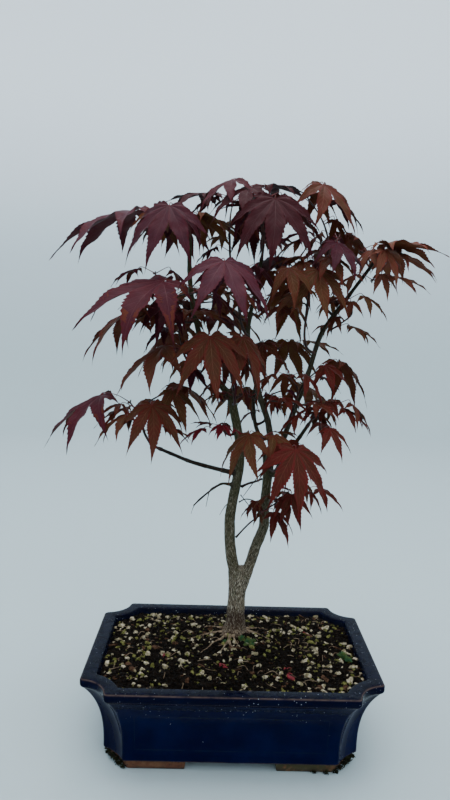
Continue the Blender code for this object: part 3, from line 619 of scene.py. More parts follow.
def extruded(rings: Sequence[Sequence[Vector]]) -> BMesh:
    """Extrude a loop of edges through rings of equally many points, with flat ends.

    Args:
        rings: The rings in order.

    Returns:
        The closed shape.
    """
    shape = bmesh.new()
    loop = bmesh.ops.create_circle(shape, segments=len(rings[0]), radius=1)["verts"]
    for vert, point in zip(loop, rings[0]):
        vert.co = point
    edges = list(shape.edges)
    bmesh.ops.contextual_create(shape, geom=edges)
    for ring in rings[1:]:
        made = bmesh.ops.extrude_edge_only(shape, edges=edges)["geom"]
        fresh = {part for part in made if isinstance(part, bmesh.types.BMVert)}
        edges = [part for part in made if isinstance(part, bmesh.types.BMEdge)]
        loop = [next(e.other_vert(vert) for e in vert.link_edges if e.other_vert(vert) in fresh)
                for vert in loop]
        for vert, point in zip(loop, ring):
            vert.co = point
    bmesh.ops.contextual_create(shape, geom=edges)
    return shape


def noted(mesh: Mesh, name: str, values: Sequence) -> None:
    """Note a number or a vector on each point of a mesh, for its finish to read.

    Args:
        mesh: The mesh.
        name: The attribute's name.
        values: One number or vector for each point.
    """
    table = np.asarray(values, dtype=np.float32)
    kind, field = ("FLOAT_VECTOR", "vector") if table.ndim == 2 else ("FLOAT", "value")
    mesh.attributes.new(name, kind, "POINT").data.foreach_set(field, table.ravel())


def smoothed(points: Sequence[Vector], steps: int = 2) -> list[Vector]:
    """Points of a Catmull-Rom curve through the given ones.

    Args:
        points: The points that it passes.
        steps: Steps from each point to the next.

    Returns:
        The curve's points, both ends included.
    """
    ends = [points[0] * 2 - points[1], *points, points[-1] * 2 - points[-2]]
    curve = []
    for before, here, after, beyond in zip(ends, ends[1:], ends[2:], ends[3:]):
        for step in range(steps):
            t = step / steps
            curve.append(0.5 * (2 * here + (after - before) * t
                                + (2 * before - 5 * here + 4 * after - beyond) * t ** 2
                                + (3 * here - before - 3 * after + beyond) * t ** 3))
    return [*curve, points[-1]]


def frames(centres: Sequence[Vector], turned: float = 0.0) -> Iterator[tuple[Vector, Vector, Vector]]:
    """Axis and two cross directions at each centre, carried along without twist.

    Args:
        centres: The centres.
        turned: How far the first cross direction is turned, in radians.

    Yields:
        The three directions at each centre.
    """
    across = None
    for index in range(len(centres)):
        ahead = centres[min(index + 1, len(centres) - 1)] - centres[max(index - 1, 0)]
        ahead.normalize()
        if across is None:
            across = ahead.orthogonal()
            if turned:
                across = Matrix.Rotation(turned, 3, ahead) @ across.normalized()
        across = (across - ahead * across.dot(ahead)).normalized()
        yield ahead, across, ahead.cross(across)


class Bundle:
    """Many small closed shapes gathered in arrays for one joined mesh."""

    def __init__(self) -> None:
        """Start empty."""
        self.points: list[np.ndarray] = []
        self.faces: list[np.ndarray] = []
        self.marks: list[np.ndarray] = []
        self.maps: list[np.ndarray] = []
        self.count = 0

    def add(self, points: np.ndarray, faces: np.ndarray, marks: np.ndarray | int = 0,
            maps: np.ndarray | None = None) -> None:
        """Add a shape.

        Args:
            points: Its vertices, one to a row.
            faces: Four corners to a row, the last of them -1 in a triangle.
            marks: Number of the finish, for all faces or for each.
            maps: Place of each vertex on the blade's map.
        """
        self.points.append(points)
        self.faces.append(np.where(faces < 0, -1, faces + self.count))
        self.marks.append(np.broadcast_to(np.asarray(marks), (len(faces),)))
        if maps is not None:
            self.maps.append(maps)
        self.count += len(points)

    def tube(self, centres: Sequence[Vector], radii: Sequence[float], sides: int = 6) -> None:
        """Add a tube with rounded ends.

        Args:
            centres: Centre of each ring.
            radii: Radius of each ring.
            sides: Points to a ring.
        """
        turns = np.arange(sides) * math.tau / sides
        rings = []
        for centre, radius, (_, across, other) in zip(centres, radii, frames(centres)):
            ring = np.outer(np.cos(turns), across) + np.outer(np.sin(turns), other)
            rings.append(np.asarray(centre) + ring * radius)
        first = np.asarray(centres[0] + (centres[0] - centres[1]).normalized() * radii[0] * 0.5)
        last = np.asarray(centres[-1] + (centres[-1] - centres[-2]).normalized() * radii[-1] * 0.8)
        points = np.concatenate([*rings, first[None], last[None]])
        near = np.arange(sides)
        after = np.roll(near, -1)
        walls = [np.stack([near + k, after + k, after + k + sides, near + k + sides], 1)
                 for k in range(0, sides * (len(rings) - 1), sides)]
        base = sides * (len(rings) - 1)
        none = np.full(sides, -1)
        start = np.stack([after, near, np.full(sides, len(points) - 2), none], 1)
        end = np.stack([near + base, after + base, np.full(sides, len(points) - 1), none], 1)
        self.add(points, np.concatenate([*walls, start, end]))

    def mesh(self, name: str, sharp: float = 50.0) -> Mesh:
        """The joined mesh.

        Args:
            name: Its name.
            sharp: The angle in degrees above which an edge stays sharp.

        Returns:
            The mesh, with the "blade" map where its shapes have one.
        """
        faces = np.concatenate(self.faces)
        used = faces >= 0
        corners = faces[used].astype(np.int32)
        starts = np.concatenate([[0], np.cumsum(used.sum(1))[:-1]]).astype(np.int32)
        mesh = bpy.data.meshes.new(name)
        mesh.vertices.add(self.count)
        mesh.vertices.foreach_set("co", np.concatenate(self.points).astype(np.float32).ravel())
        mesh.loops.add(len(corners))
        mesh.loops.foreach_set("vertex_index", corners)
        mesh.polygons.add(len(faces))
        mesh.polygons.foreach_set("loop_start", starts)
        mesh.polygons.foreach_set("material_index", np.concatenate(self.marks).astype(np.int32))
        mesh.update(calc_edges=True)
        if self.maps:
            layer = mesh.uv_layers.new(name="blade")
            layer.data.foreach_set("uv", np.concatenate(self.maps)[corners].astype(np.float32).ravel())
        return softened(mesh, sharp)


# ---------------- pot


@dataclass(frozen=True)
class Outline:
    """The pot's outline: a rectangle whose corners are cut by concave quarter circles."""

    length: float = 252 * MM
    width: float = 179 * MM
    notch: float = 23.3 * MM
    shoulder: float = 3.5 * MM
    shoulder_steps: int = 6
    notch_steps: int = 14

    @staticmethod
    def arc(centre: Pair, radius: float, start: float, end: float, steps: int) -> list[Pair]:
        """Points of an arc, angles in radians, both ends included."""
        turns = [start + (end - start) * i / steps for i in range(steps + 1)]
        return [(centre[0] + radius * math.cos(t), centre[1] + radius * math.sin(t)) for t in turns]

    def depth(self, point: Vector) -> float:
        """How far inside the outline a point lies."""
        x, y = self.length / 2 - abs(point.x), self.width / 2 - abs(point.y)
        return min(x, y, math.hypot(x, y) - self.notch)

    def corner(self, inset: float) -> list[Pair]:
        """The notched corner in the +x +y quadrant.

        Args:
            inset: How far the outline is moved inwards.

        Returns:
            Its points, from the side edge to the back edge.
        """
        corner = (self.length / 2, self.width / 2)
        notch = self.notch + inset
        near = inset + self.shoulder
        far = math.sqrt((notch + self.shoulder) ** 2 - near ** 2)
        side, back = math.atan2(far, near), math.atan2(near, far)
        points = self.arc((corner[0] - near, corner[1] - far), self.shoulder, 0, side, self.shoulder_steps)
        points += self.arc(corner, notch, math.pi + side, math.pi + back, self.notch_steps)[1:-1]
        points += self.arc((corner[0] - far, corner[1] - near), self.shoulder, back, math.pi / 2,
                           self.shoulder_steps)
        return points


@dataclass(frozen=True)
class Pot:
    """The glazed pot: flaring wall with sunk panels, lip, throat, and drain holes."""

    outline: Outline = Outline()
    wall_inset: float = 18.0
    flare_foot: float = 9.0
    flare_top: float = 68.6
    flare_power: float = 2.85
    lip_overhang: float = 2.0
    panel_depth: float = 0.55 * MM
    panel_floor: float = 19.5 * MM
    panel_top: float = 52.5 * MM
    panel_half_length: float = 79.7 * MM
    panel_half_width: float = 43.7 * MM
    panel_slope: float = 1.2 * MM
    drain_radius: float = 9 * MM
    drain_spacing: float = 90 * MM
    floor_top: float = 16 * MM
    foot: tuple[Pair, ...] = ((19.6, 9.0), (18.6, 9.15), (18.05, 9.7))
    wall_levels: tuple[float, ...] = (
        10.5, 15.0, 19.5, 20.7, 26.0, 31.0, 36.0, 41.0, 46.0, 51.3, 52.5, 55.0, 57.5, 60.0, 62.2, 64.2,
        66.0, 67.4, 68.6)
    lip: tuple[Pair, ...] = (
        (1.35, 69.1), (0.75, 69.7), (0.3, 70.5), (0.08, 71.4), (0.0, 72.3), (0.0, 75.2), (0.12, 75.9),
        (0.45, 76.45), (1.0, 76.85), (1.8, 77.0), (10.4, 77.0), (11.4, 76.8), (12.2, 76.3), (12.6, 75.6),
        (14.0, 70.0), (20.5, 60.0), (23.5, 16.0))
    arrises: tuple[Triple, ...] = (
        (76.4, 0.6, 0.75), (69.3, 0.8, 0.3), (9.4, 1.0, 0.8))
    throat_level: float = 60
    throat_depth: float = 5 * MM
    dusty_levels: Pair = (76.2, 76.8)

    def profile(self) -> list[Pair]:
        """Inset and height of each ring, from the underside round to the floor."""
        wall = []
        for level in self.wall_levels:
            share = (level - self.flare_foot) / (self.flare_top - self.flare_foot)
            reach = self.wall_inset - self.lip_overhang
            wall.append((self.wall_inset - reach * share ** self.flare_power, level))
        return [(inset * MM, level * MM) for inset, level in (*self.foot, *wall, *self.lip)]

    def stations(self, half: float, steps: int) -> list[float]:
        """Places along a straight side, with those at the panel's ends.

        Args:
            half: Half the panel's length.
            steps: Even steps over the panel.

        Returns:
            The places, from the positive end to the negative one.
        """
        inner = half - self.panel_slope
        even = [inner - 2 * inner * i / steps for i in range(steps + 1)]
        return [half + 4 * MM, half, *even, -half, -half - 4 * MM]

    def within_panel(self, point: Vector) -> float:
        """Measure how far inside a panel's edge a point lies.

        Args:
            point: The point.

        Returns:
            The distance in millimetres, from -3 to 3 and below nought outside.
        """
        beside = self.outline.length / 2 - abs(point.x) < self.outline.width / 2 - abs(point.y)
        end = self.panel_half_width - abs(point.y) if beside else self.panel_half_length - abs(point.x)
        inner = min(end, point.z - self.panel_floor, self.panel_top - point.z) / MM
        return max(-3.0, min(3.0, inner))

    def ring(self, inset: float, level: float) -> list[Vector]:
        """The outline at a height, with the four panels sunk into it.

        Args:
            inset: How far the outline is moved inwards.
            level: The height.

        Returns:
            The ring's points, anticlockwise.
        """
        sunk = self.panel_depth if self.panel_floor < level < self.panel_top and inset < 19 * MM else 0.0
        corner = self.outline.corner(inset)
        side, back = self.outline.length / 2 - inset, self.outline.width / 2 - inset
        half = list(corner)
        for x in self.stations(self.panel_half_length, 8):
            half.append((x, back - (sunk if abs(x) < self.panel_half_length - 0.1 * MM else 0)))
        half += [(-x, y) for x, y in reversed(corner)]
        for y in self.stations(self.panel_half_width, 4):
            half.append(((sunk if abs(y) < self.panel_half_width - 0.1 * MM else 0) - side, y))
        return [Vector((x * sign, y * sign, level)) for sign in (1, -1) for x, y in half]

    def drilled(self, mesh: Mesh) -> Mesh:
        """Cut the two drain holes through the floor.

        Args:
            mesh: The pot without holes.

        Returns:
            The pot with them.
        """
        blank = placed("pot blank", mesh)
        tools = []
        for side in (-1, 1):
            drill = bmesh.new()
            bmesh.ops.create_cone(drill, cap_ends=True, segments=48, radius1=self.drain_radius,
                                  radius2=self.drain_radius, depth=self.floor_top * 2)
            place = Matrix.Translation((side * self.drain_spacing / 2, 0, self.floor_top))
            bmesh.ops.transform(drill, matrix=place, verts=drill.verts)
            tools.append(placed("drill", settled(drill, "drill")))
            cut = blank.modifiers.new("drain hole", "BOOLEAN")
            cut.operation = "DIFFERENCE"
            cut.object = tools[-1]
        return applied(blank, *tools)

    def build(self) -> Piece:
        """The pot as a piece.

        Returns:
            The piece, whose points carry where the glaze is thin, where dust lies and the panels.
        """
        shape = extruded([self.ring(*section) for section in self.profile()])
        mesh = softened(self.drilled(settled(shape, "pot without holes", 30)), 30)
        mesh.name = "glazed_pot"
        thin, ledge = [], []
        low, high = self.dusty_levels
        for vert in mesh.vertices:
            level = vert.co.z / MM
            edge = sum(share * max(0.0, 1 - abs(level - at) / half) for at, half, share in self.arrises)
            inner = level > self.throat_level and self.outline.depth(vert.co) > self.throat_depth
            thin.append(0.0 if inner else min(1.0, edge))
            ledge.append(1.0 if inner else min(1.0, max(0.0, (level - low) / (high - low))))
        noted(mesh, "thin", thin)
        noted(mesh, "ledge", ledge)
        noted(mesh, "panel", [self.within_panel(vert.co) for vert in mesh.vertices])
        return Piece("glazed_pot", mesh, [NavyGlaze().material()], POT_SLOT, ["pot"])


@dataclass(frozen=True)
class Feet:
    """Four terracotta feet, worn at the edges, one of them mossy."""

    bevel: float = 0.9 * MM
    roughness: float = 0.22 * MM
    mossy: str = "foot_front_right"
    names: tuple[str, ...] = ("foot_front_left", "foot_front_right", "foot_back_left", "foot_back_right")

    def foot(self, name: str) -> Piece:
        """One foot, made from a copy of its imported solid.

        Args:
            name: The CAD node.

        Returns:
            The worn foot as a piece.
        """
        shape = bmesh.new()
        shape.from_mesh(frame["nodes"][name].data)
        bmesh.ops.remove_doubles(shape, verts=shape.verts, dist=0.01 * MM)
        bmesh.ops.dissolve_limit(shape, angle_limit=math.radians(2), verts=shape.verts, edges=shape.edges)
        rims = [edge for edge in shape.edges if edge.calc_face_angle(0) > math.radians(50)]
        bmesh.ops.bevel(shape, geom=rims, offset=self.bevel, offset_type="OFFSET", segments=3, profile=0.5,
                        affect="EDGES", clamp_overlap=True, material=-1)
        bmesh.ops.triangulate(shape, faces=[face for face in shape.faces if len(face.verts) > 4])
        bmesh.ops.subdivide_edges(shape, edges=[e for e in shape.edges if e.calc_length() > 4 * MM],
                                  cuts=3, use_grid_fill=True)
        bmesh.ops.triangulate(shape, faces=shape.faces)
        for vert in shape.verts:
            if vert.co.z > 0.3 * MM:
                vert.co += noise.noise_vector(vert.co / (5 * MM)) * self.roughness
        mossiness = 1.0 if name == self.mossy else 0.25
        mesh = settled(shape, f"worn_{name}", 60)
        return Piece(f"worn_{name}", mesh, [Terracotta(mossiness).material()], FOOT_SLOT, [name])

    def build(self) -> list[Piece]:
        """All four feet."""
        return [self.foot(name) for name in self.names]


# ---------------- compost top


class Scatter:
    """Puts loose matter on the top of the compost."""

    half_length = 116 * MM
    half_width = 80 * MM
    lowest = 70 * MM

    def __init__(self, seed: int) -> None:
        """Take the compost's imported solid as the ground.

        Args:
            seed: Seed of everything scattered here.
        """
        self.ground = BVHTree.FromPolygons(*packed("soil"))
        self.chance = random.Random(seed)
        self.trunk = Vector((3.0 * MM, 26 * MM))

    def spot(self, x: float, y: float) -> tuple[Vector, Vector] | None:
        """Find the compost's top under a point.

        Args:
            x: The point's x.
            y: The point's y.

        Returns:
            Place and slope of the top, or None beside it.
        """
        hit, normal, _, _ = self.ground.ray_cast(Vector((x, y, 0.2)), Vector((0, 0, -1)))
        if hit is None or hit.z < self.lowest:
            return None
        return hit, normal

    def anywhere(self, clear: float) -> tuple[Vector, Vector]:
        """A place on the compost's top that is clear of the trunk.

        Args:
            clear: Distance to keep from the trunk's axis.

        Returns:
            The place and the slope there.
        """
        while True:
            x = self.chance.uniform(-self.half_length, self.half_length)
            y = self.chance.uniform(-self.half_width, self.half_width)
            found = self.spot(x, y)
            if found and (Vector((x, y)) - self.trunk).length > clear:
                return found

    def spread(self, count: int, clear: float, apart: float) -> Iterator[tuple[Vector, Vector]]:
        """Places on the compost's top that keep a distance from one another.

        Args:
            count: How many places are wanted.
            clear: Distance to keep from the trunk's axis.
            apart: Distance to keep from the other places.

        Yields:
            Each place and the slope there.
        """
        taken: dict[tuple[int, int], Vector] = {}
        for _ in range(count * 12):
            if len(taken) >= count:
                return
            place, normal = self.anywhere(clear)
            cell = (math.floor(place.x / apart), math.floor(place.y / apart))
            if cell in taken:
                continue
            taken[cell] = place
            yield place, normal


def pebbles(seed: int, count: int, detail: int, rough: float) -> list[tuple[np.ndarray, np.ndarray]]:
    """Rough grains of unit radius.

    Args:
        seed: Seed of their roughness.
        count: How many kinds.
        detail: Subdivisions of the icosphere.
        rough: Depth of the roughness.

    Returns:
        Vertices and faces of each.
    """
    kinds = []
    for kind in range(count):
        shape = bmesh.new()
        bmesh.ops.create_icosphere(shape, subdivisions=detail, radius=1)
        shift = Vector((seed, kind * 7.3, 0))
        for vert in shape.verts:
            push = noise.noise(vert.co * 1.1 + shift) + 0.5 * noise.noise(vert.co * 2.7 + shift)
            vert.co *= 1 + rough * push
        points = np.array([vert.co for vert in shape.verts])
        faces = np.array([[vert.index for vert in face.verts] + [-1] for face in shape.faces])
        shape.free()
        kinds.append((points, faces))
    return kinds


@dataclass(frozen=True)
class Grains:
    """One kind of loose grain and how it lies."""

    name: str
    count: int
    smallest: float
    largest: float
    apart: float
    clear: float
    sink: float
    flat: float
    long: float
    detail: int
    rough: float
    seed: int
    kinds: int = 7
    mostly_small: float = 1.7
    tilt: float = 0.6

    def build(self, finish: Material) -> Piece:
        """Scatter the grains.

        Args:
            finish: Their material.

        Returns:
            All of them as a piece.
        """
        scatter = Scatter(self.seed)
        chance = scatter.chance
        kinds = pebbles(self.seed, self.kinds, self.detail, self.rough)
        bundle = Bundle()
        for place, normal in scatter.spread(self.count, self.clear, self.apart):
            share = chance.random() ** self.mostly_small
            size = (self.smallest + (self.largest - self.smallest) * share) / 2
            points, faces = kinds[chance.randrange(len(kinds))]
            shape = np.array([chance.uniform(1.0, self.long), 1.0, chance.uniform(self.flat, 1.0)])
            tilt = Matrix.Rotation(chance.uniform(-self.tilt, self.tilt), 3, "X") @ Matrix.Rotation(
                chance.uniform(-self.tilt, self.tilt), 3, "Y")
            turn = Matrix.Rotation(chance.uniform(0, math.tau), 3, "Z") @ tilt
            lift = np.asarray(place + normal * size * (1 - 2 * self.sink))
            bundle.add(points * shape * size @ np.array(turn).T + lift, faces)
        return Piece(self.name, bundle.mesh(self.name, 32), [finish], SOIL_SLOT)


@dataclass(frozen=True)
class SoilTop:
    """What lies on the compost: crumbs, grit, chips, fibres, fine roots, moss."""

    surface_roots: tuple[tuple[Pair, ...], ...] = (
        ((-5, 16), (-10, 8), (-16, 2), (-23, -9), (-27, -16)),
        ((-1, 14), (-3, 4), (-6, -4), (-10, -13), (-13, -20)),
        ((-2, 3), (0, -5), (2, -9)),
        ((2, 14), (3, 8), (5, 0), (6, -5)),
        ((14, 26), (22, 22), (30, 16), (37, 10)),
        ((13, 30), (23, 32), (35, 30)),
        ((-8, 30), (-17, 33), (-27, 30)),
        ((-8, 22), (-18, 20), (-30, 12), (-41, 10)),
        ((4, 38), (6, 48), (12, 55)))
    moss: tuple[Triple, ...] = (
        (9.5, 8.5, 4.6), (15.5, 3.5, 4.8), (18.5, -1.5, 3.6), (20.5, 7.0, 3.2), (13.0, -2.0, 3.0),
        (100.0, -12.0, 6.0), (104.0, -18.0, 4.5), (-6.0, 4.0, 2.6))
    dirt: tuple[tuple[float, float, float, float], ...] = (
        (-104.5, -47, 6.6, 1.8), (-103.5, -52.5, 6, 2.5), (-99.5, -56.5, 5, 2.9), (-96, -60, 3.8, 2.6),
        (-92.5, -63.5, 2.6, 2.2), (-89, -67, 1.6, 1.6), (104.6, -45, 6.6, 1.6), (103.5, -52.5, 6.2, 2.6),
        (99.5, -56.5, 5.2, 2.9), (96, -60, 4.2, 2.6), (92, -64, 2.8, 2.4), (88, -67.6, 1.6, 2),
        (80, -68.8, 1.2, 1.4), (70, -68.8, 1, 1.2))
    husks: tuple[Pair, ...] = (
        (-5.3, -38.1), (47.5, -40), (50, -46.5), (49.5, -52), (-7.8, -36.6), (-60, -20), (72, 30))
    loose: tuple[tuple[Grains, Grit], ...] = (
        (Grains("soil_crumbs", 5200, 2.0 * MM, 4.4 * MM, 2.1 * MM, 9.5 * MM, 0.32, 0.5, 1.5, 1, 0.42, 61),
         Grit("compost crumbs", (0.003, 0.0021, 0.0015), (0.01, 0.006, 0.0036), (0.0012, 0.0009, 0.0007))),
        (Grains("pumice_grains", 340, 1.6 * MM, 5.2 * MM, 4.4 * MM, 14 * MM, 0.25, 0.5, 1.7, 2, 0.7, 62),
         Grit("pumice", (0.2, 0.17, 0.095), (0.5, 0.43, 0.31), (0.05, 0.038, 0.02))),
        (Grains("olive_grains", 440, 1.5 * MM, 4.4 * MM, 4.2 * MM, 12 * MM, 0.25, 0.5, 1.6, 2, 0.7, 63),
         Grit("olive grit", (0.075, 0.078, 0.018), (0.19, 0.185, 0.06), (0.013, 0.012, 0.005))))
    root_wander: float = 0.7 * MM
    fibres_loose: int = 110
    fibre_length: Pair = (4, 13)
    fibre_bend: float = 0.35
    fibre_lift: Pair = (1.6, 3.4)
    fibre_radius: Pair = (0.16, 0.32)
    tufts_per_mm: int = 26
    moss_lean: float = 1.35
    moss_leaf: Triple = (0.28 * MM, 0.42 * MM, 0.08 * MM)
    clod_leaf: Triple = (0.3 * MM, 0.5 * MM, 0.12 * MM)
    clod_spread: Triple = (1.1, 0.8, 0.7)
    clod_lowest: Pair = (0.9 * MM, 0.7 * MM)
    flake: float = 6 * MM
    flake_growth: Pair = (0.6, 1.4)
    flake_width: Pair = (0.35, 0.7)
    flake_depth: Pair = (0.12, 0.25)
    chip_finish: Grit = Grit(
        "bark chips", (0.036, 0.017, 0.009), (0.085, 0.043, 0.024), (0.008, 0.005, 0.004))
    root_finish: Shoot = Shoot("fine root", (0.25, 0.185, 0.12), (0.09, 0.055, 0.033), 0.8)
    moss_finish: Shoot = Shoot("moss", (0.035, 0.105, 0.045), (0.085, 0.12, 0.03), 0.8)
    dirt_finish: Shoot = Shoot("damp moss and dirt", (0.018, 0.021, 0.006), (0.006, 0.005, 0.003), 0.9)
    husk_finish: Shoot = Shoot("red bud husk", (0.2, 0.018, 0.026), (0.1, 0.012, 0.016), 0.6)

    def fibres(self) -> Bundle:
        """Fine roots that run out from the trunk and loose fibres all over."""
        scatter = Scatter(71)
        chance = scatter.chance
        bundle = Bundle()
        for run in self.surface_roots:
            line = [Vector((x, y, 0)) * MM for x, y in run]
            centres = []
            for point in smoothed(line, 6):
                found = scatter.spot(point.x, point.y)
                if found:
                    wander = noise.noise_vector(point * 160) * self.root_wander
                    centres.append(found[0] + Vector((wander.x, wander.y, 1.5 * MM + abs(wander.z))))
            radii = [(0.75 - 0.5 * i / len(centres) + 1.3 * math.exp(-5 * i / len(centres))) * MM
                     for i in range(len(centres))]
            bundle.tube(centres, radii, 6)
        for place, normal in scatter.spread(self.fibres_loose, 12 * MM, 9 * MM):
            turn = chance.uniform(0, math.tau)
            length = chance.uniform(*self.fibre_length) * MM
            way = Vector((math.cos(turn), math.sin(turn), 0)) * length
            bend = Vector((-way.y, way.x, 0)) * chance.uniform(-self.fibre_bend, self.fibre_bend)
            lift = normal * chance.uniform(*self.fibre_lift) * MM
            line = [place + lift * 0.4 - way / 2, place + lift + bend, place + way / 2 + lift * 0.5]
            if all(scatter.spot(point.x, point.y) for point in line):
                curve = smoothed(line, 4)
                bundle.tube(curve, [chance.uniform(*self.fibre_radius) * MM] * len(curve), 5)
        return bundle

    def mossy(self) -> Bundle:
        """Cushions of moss: domes of short pointed leaves."""
        scatter = Scatter(72)
        chance = scatter.chance
        bundle = Bundle()
        for x, y, size in self.moss:
            found = scatter.spot(x * MM, y * MM)
            for _ in range(int(self.tufts_per_mm * size)):
                turn, lean = chance.uniform(0, math.tau), chance.uniform(0, self.moss_lean)
                flat = math.sin(lean)
                out = Vector((math.cos(turn) * flat, math.sin(turn) * flat, math.cos(lean)))
                start = found[0] + out * size * MM * 0.35
                length = chance.uniform(0.35, 0.7) * size * MM
                tip = start + (out + Vector((0, 0, 0.25))) * length
                bundle.tube([start, start.lerp(tip, 0.5), tip], self.moss_leaf, 4)
        return bundle

    def clods(self) -> Bundle:
        """Moss and dirt caught between the front feet and the pot's notches."""
        chance = random.Random(75)
        bundle = Bundle()
        for x, y, level, size in self.dirt:
            for _ in range(int(self.tufts_per_mm * size)):
                heart = Vector(a + chance.gauss(0, spread)
                               for a, spread in zip((x, y, level), self.clod_spread)) * MM
                out = Vector((chance.gauss(0, 1), chance.gauss(0, 1), chance.gauss(0, 1))).normalized()
                tip = heart + out * size * MM * chance.uniform(0.3, 1.0)
                heart.z, tip.z = max(self.clod_lowest[0], heart.z), max(self.clod_lowest[1], tip.z)
                bundle.tube([heart, heart.lerp(tip, 0.6), tip], self.clod_leaf, 4)
        return bundle

    def chips(self, spots: Iterable[tuple[Vector, Vector]], chance: random.Random) -> Bundle:
        """Thin angular flakes.

        Args:
            spots: Where they lie.
            chance: What deals out their forms.

        Returns:
            The flakes.
        """
        bundle = Bundle()
        block = bmesh.new()
        bmesh.ops.create_cube(block, size=1)
        bmesh.ops.bevel(block, geom=list(block.edges), offset=0.12, offset_type="OFFSET", segments=1,
                        profile=0.5, affect="EDGES", material=-1)
        points = np.array([vert.co for vert in block.verts])
        faces = np.array([[vert.index for vert in face.verts] + [-1] * (4 - len(face.verts))
                          for face in block.faces])
        block.free()
        for place, normal in spots:
            form = np.array([1.0, chance.uniform(*self.flake_width), chance.uniform(*self.flake_depth)])
            form = form * self.flake * chance.uniform(*self.flake_growth)
            skew = points * form
            skew[:, 1] += skew[:, 0] * chance.uniform(-0.3, 0.3)
            turn = Matrix.Rotation(chance.uniform(0, math.tau), 3, "Z") @ Matrix.Rotation(
                chance.uniform(-0.5, 0.5), 3, "X") @ Matrix.Rotation(chance.uniform(-0.35, 0.35), 3, "Y")
            bundle.add(skew @ np.array(turn).T + np.asarray(place + normal * 0.9 * MM), faces)
        return bundle

    def build(self) -> list[Piece]:
        """Everything on the compost as pieces, one for each kind.

        Returns:
            The pieces.
        """
        ground = frame["nodes"]["soil"].data.materials
        ground.clear()
        ground.append(Compost().material())
        flakes, husks = Scatter(73), Scatter(74)
        red = [husks.spot(x * MM, y * MM) for x, y in self.husks]
        chips = self.chips(flakes.spread(90, 15 * MM, 10 * MM), flakes.chance)
        pieces = [grains.build(grit.material()) for grains, grit in self.loose]
        for name, bundle, finish, slot in (
                ("bark_chips", chips, self.chip_finish, SOIL_SLOT),
                ("fine_roots", self.fibres(), self.root_finish, BARK_SLOT),
                ("moss", self.mossy(), self.moss_finish, SOIL_SLOT),
                ("foot_moss", self.clods(), self.dirt_finish, SOIL_SLOT),
                ("bud_husks", self.chips(red, husks.chance), self.husk_finish, SOIL_SLOT)):
            pieces.append(Piece(name, bundle.mesh(name), [finish.material()], slot))
        return pieces


# ---------------- wood


@dataclass(frozen=True)
class Limb:
    """A tapering limb, with sizes in millimetres.

    It leaves its parent limb at a fraction of the way along, and then follows its
    own points.  The two stems stand on the trunk and have no parent.  Youth and
    green say how its bark looks at either end.
    """

    name: str
    parent: str
    along: float
    points: tuple[Triple, ...]
    start: float
    end: float
    youth: Pair
    green: Pair


LIMBS = (
    Limb("left_stem", "", 0, ((1.1, 25, 137.5), (1.1, 25, 139.5), (-2, 25, 152), (-4, 25, 172),
                              (-4, 24, 192), (0, 22, 219), (3, 20, 242), (2, 18, 264), (-3, 15, 288),
                              (-6, 14, 301)),
         11.2, 7.6, (0.0, 0.85), (0.75, 0.9)),
    Limb("right_stem", "", 0, ((13.6, 25, 137.5), (13.6, 25, 139.5), (17, 24, 150), (21, 22, 165),
                               (27, 20, 183), (27, 18, 201), (28, 15, 223), (31, 14, 255)),
         10.4, 8.4, (0.0, 0.75), (0.3, 0.9)),
    Limb("left_leader", "left_stem", 1.0, ((-21, 14, 321), (-32, 12, 345), (-39, 10, 369), (-44, 8, 393),
                                           (-46, 5, 418), (-46, 0, 440)),
         6.6, 3.6, (0.75, 1.0), (0.9, 0.5)),
    Limb("inner_leader", "right_stem", 1.0, ((27, 14, 283), (19, 15, 305), (11, 16, 335), (7, 18, 356),
                                             (8, 20, 374), (12, 20, 395), (17, 20, 427)),
         6.4, 3.2, (0.8, 1.0), (0.35, 0.6)),
    Limb("right_bough", "right_stem", 0.96, ((44, 17, 272), (53, 20, 298), (64, 23, 330), (73, 24, 361),
                                             (91, 22, 389)), 5.4, 4.2, (0.8, 1.0), (0.4, 0.3)),
    Limb("right_bough_tip", "right_bough", 1.0, ((99, 20, 401), (112, 18, 420), (118, 18, 430)),
         3.8, 3.0, (1.0, 1.0), (0.3, 0.1)),
    Limb("right_low_bough", "right_stem", 0.91, ((44, 1, 256), (53, -4, 270), (61, -8, 284)),
         4.4, 3.2, (0.8, 1.0), (0.4, 0.2)),
    Limb("left_bough", "left_stem", 0.6, ((-19, 18, 237), (-38, 8, 244), (-50, 0, 250), (-68, -12, 260)),
         4.6, 3.0, (0.9, 1.0), (0.1, 0.0)),
    Limb("back_bough", "right_stem", 0.88, ((26, 38, 252), (18, 50, 274), (16, 58, 300), (22, 64, 330)),
         4.8, 3.2, (0.7, 1.0), (0.4, 0.2)),
    Limb("bare_twig", "left_stem", 0.54, ((-14, 20, 222), (-26, 17, 214), (-38, 14, 203)),
         2.8, 1.6, (0.8, 1.0), (0.3, 0.0)),
)
OPENINGS = ((45, 369, 24), (31, 357, 18), (94, 339, 30), (-87, 340, 30), (-34, 263, 18), (60, 345, 16))
LIMB_FOOT = 2.5 * MM
JOINT_GAP = 0.3 * MM


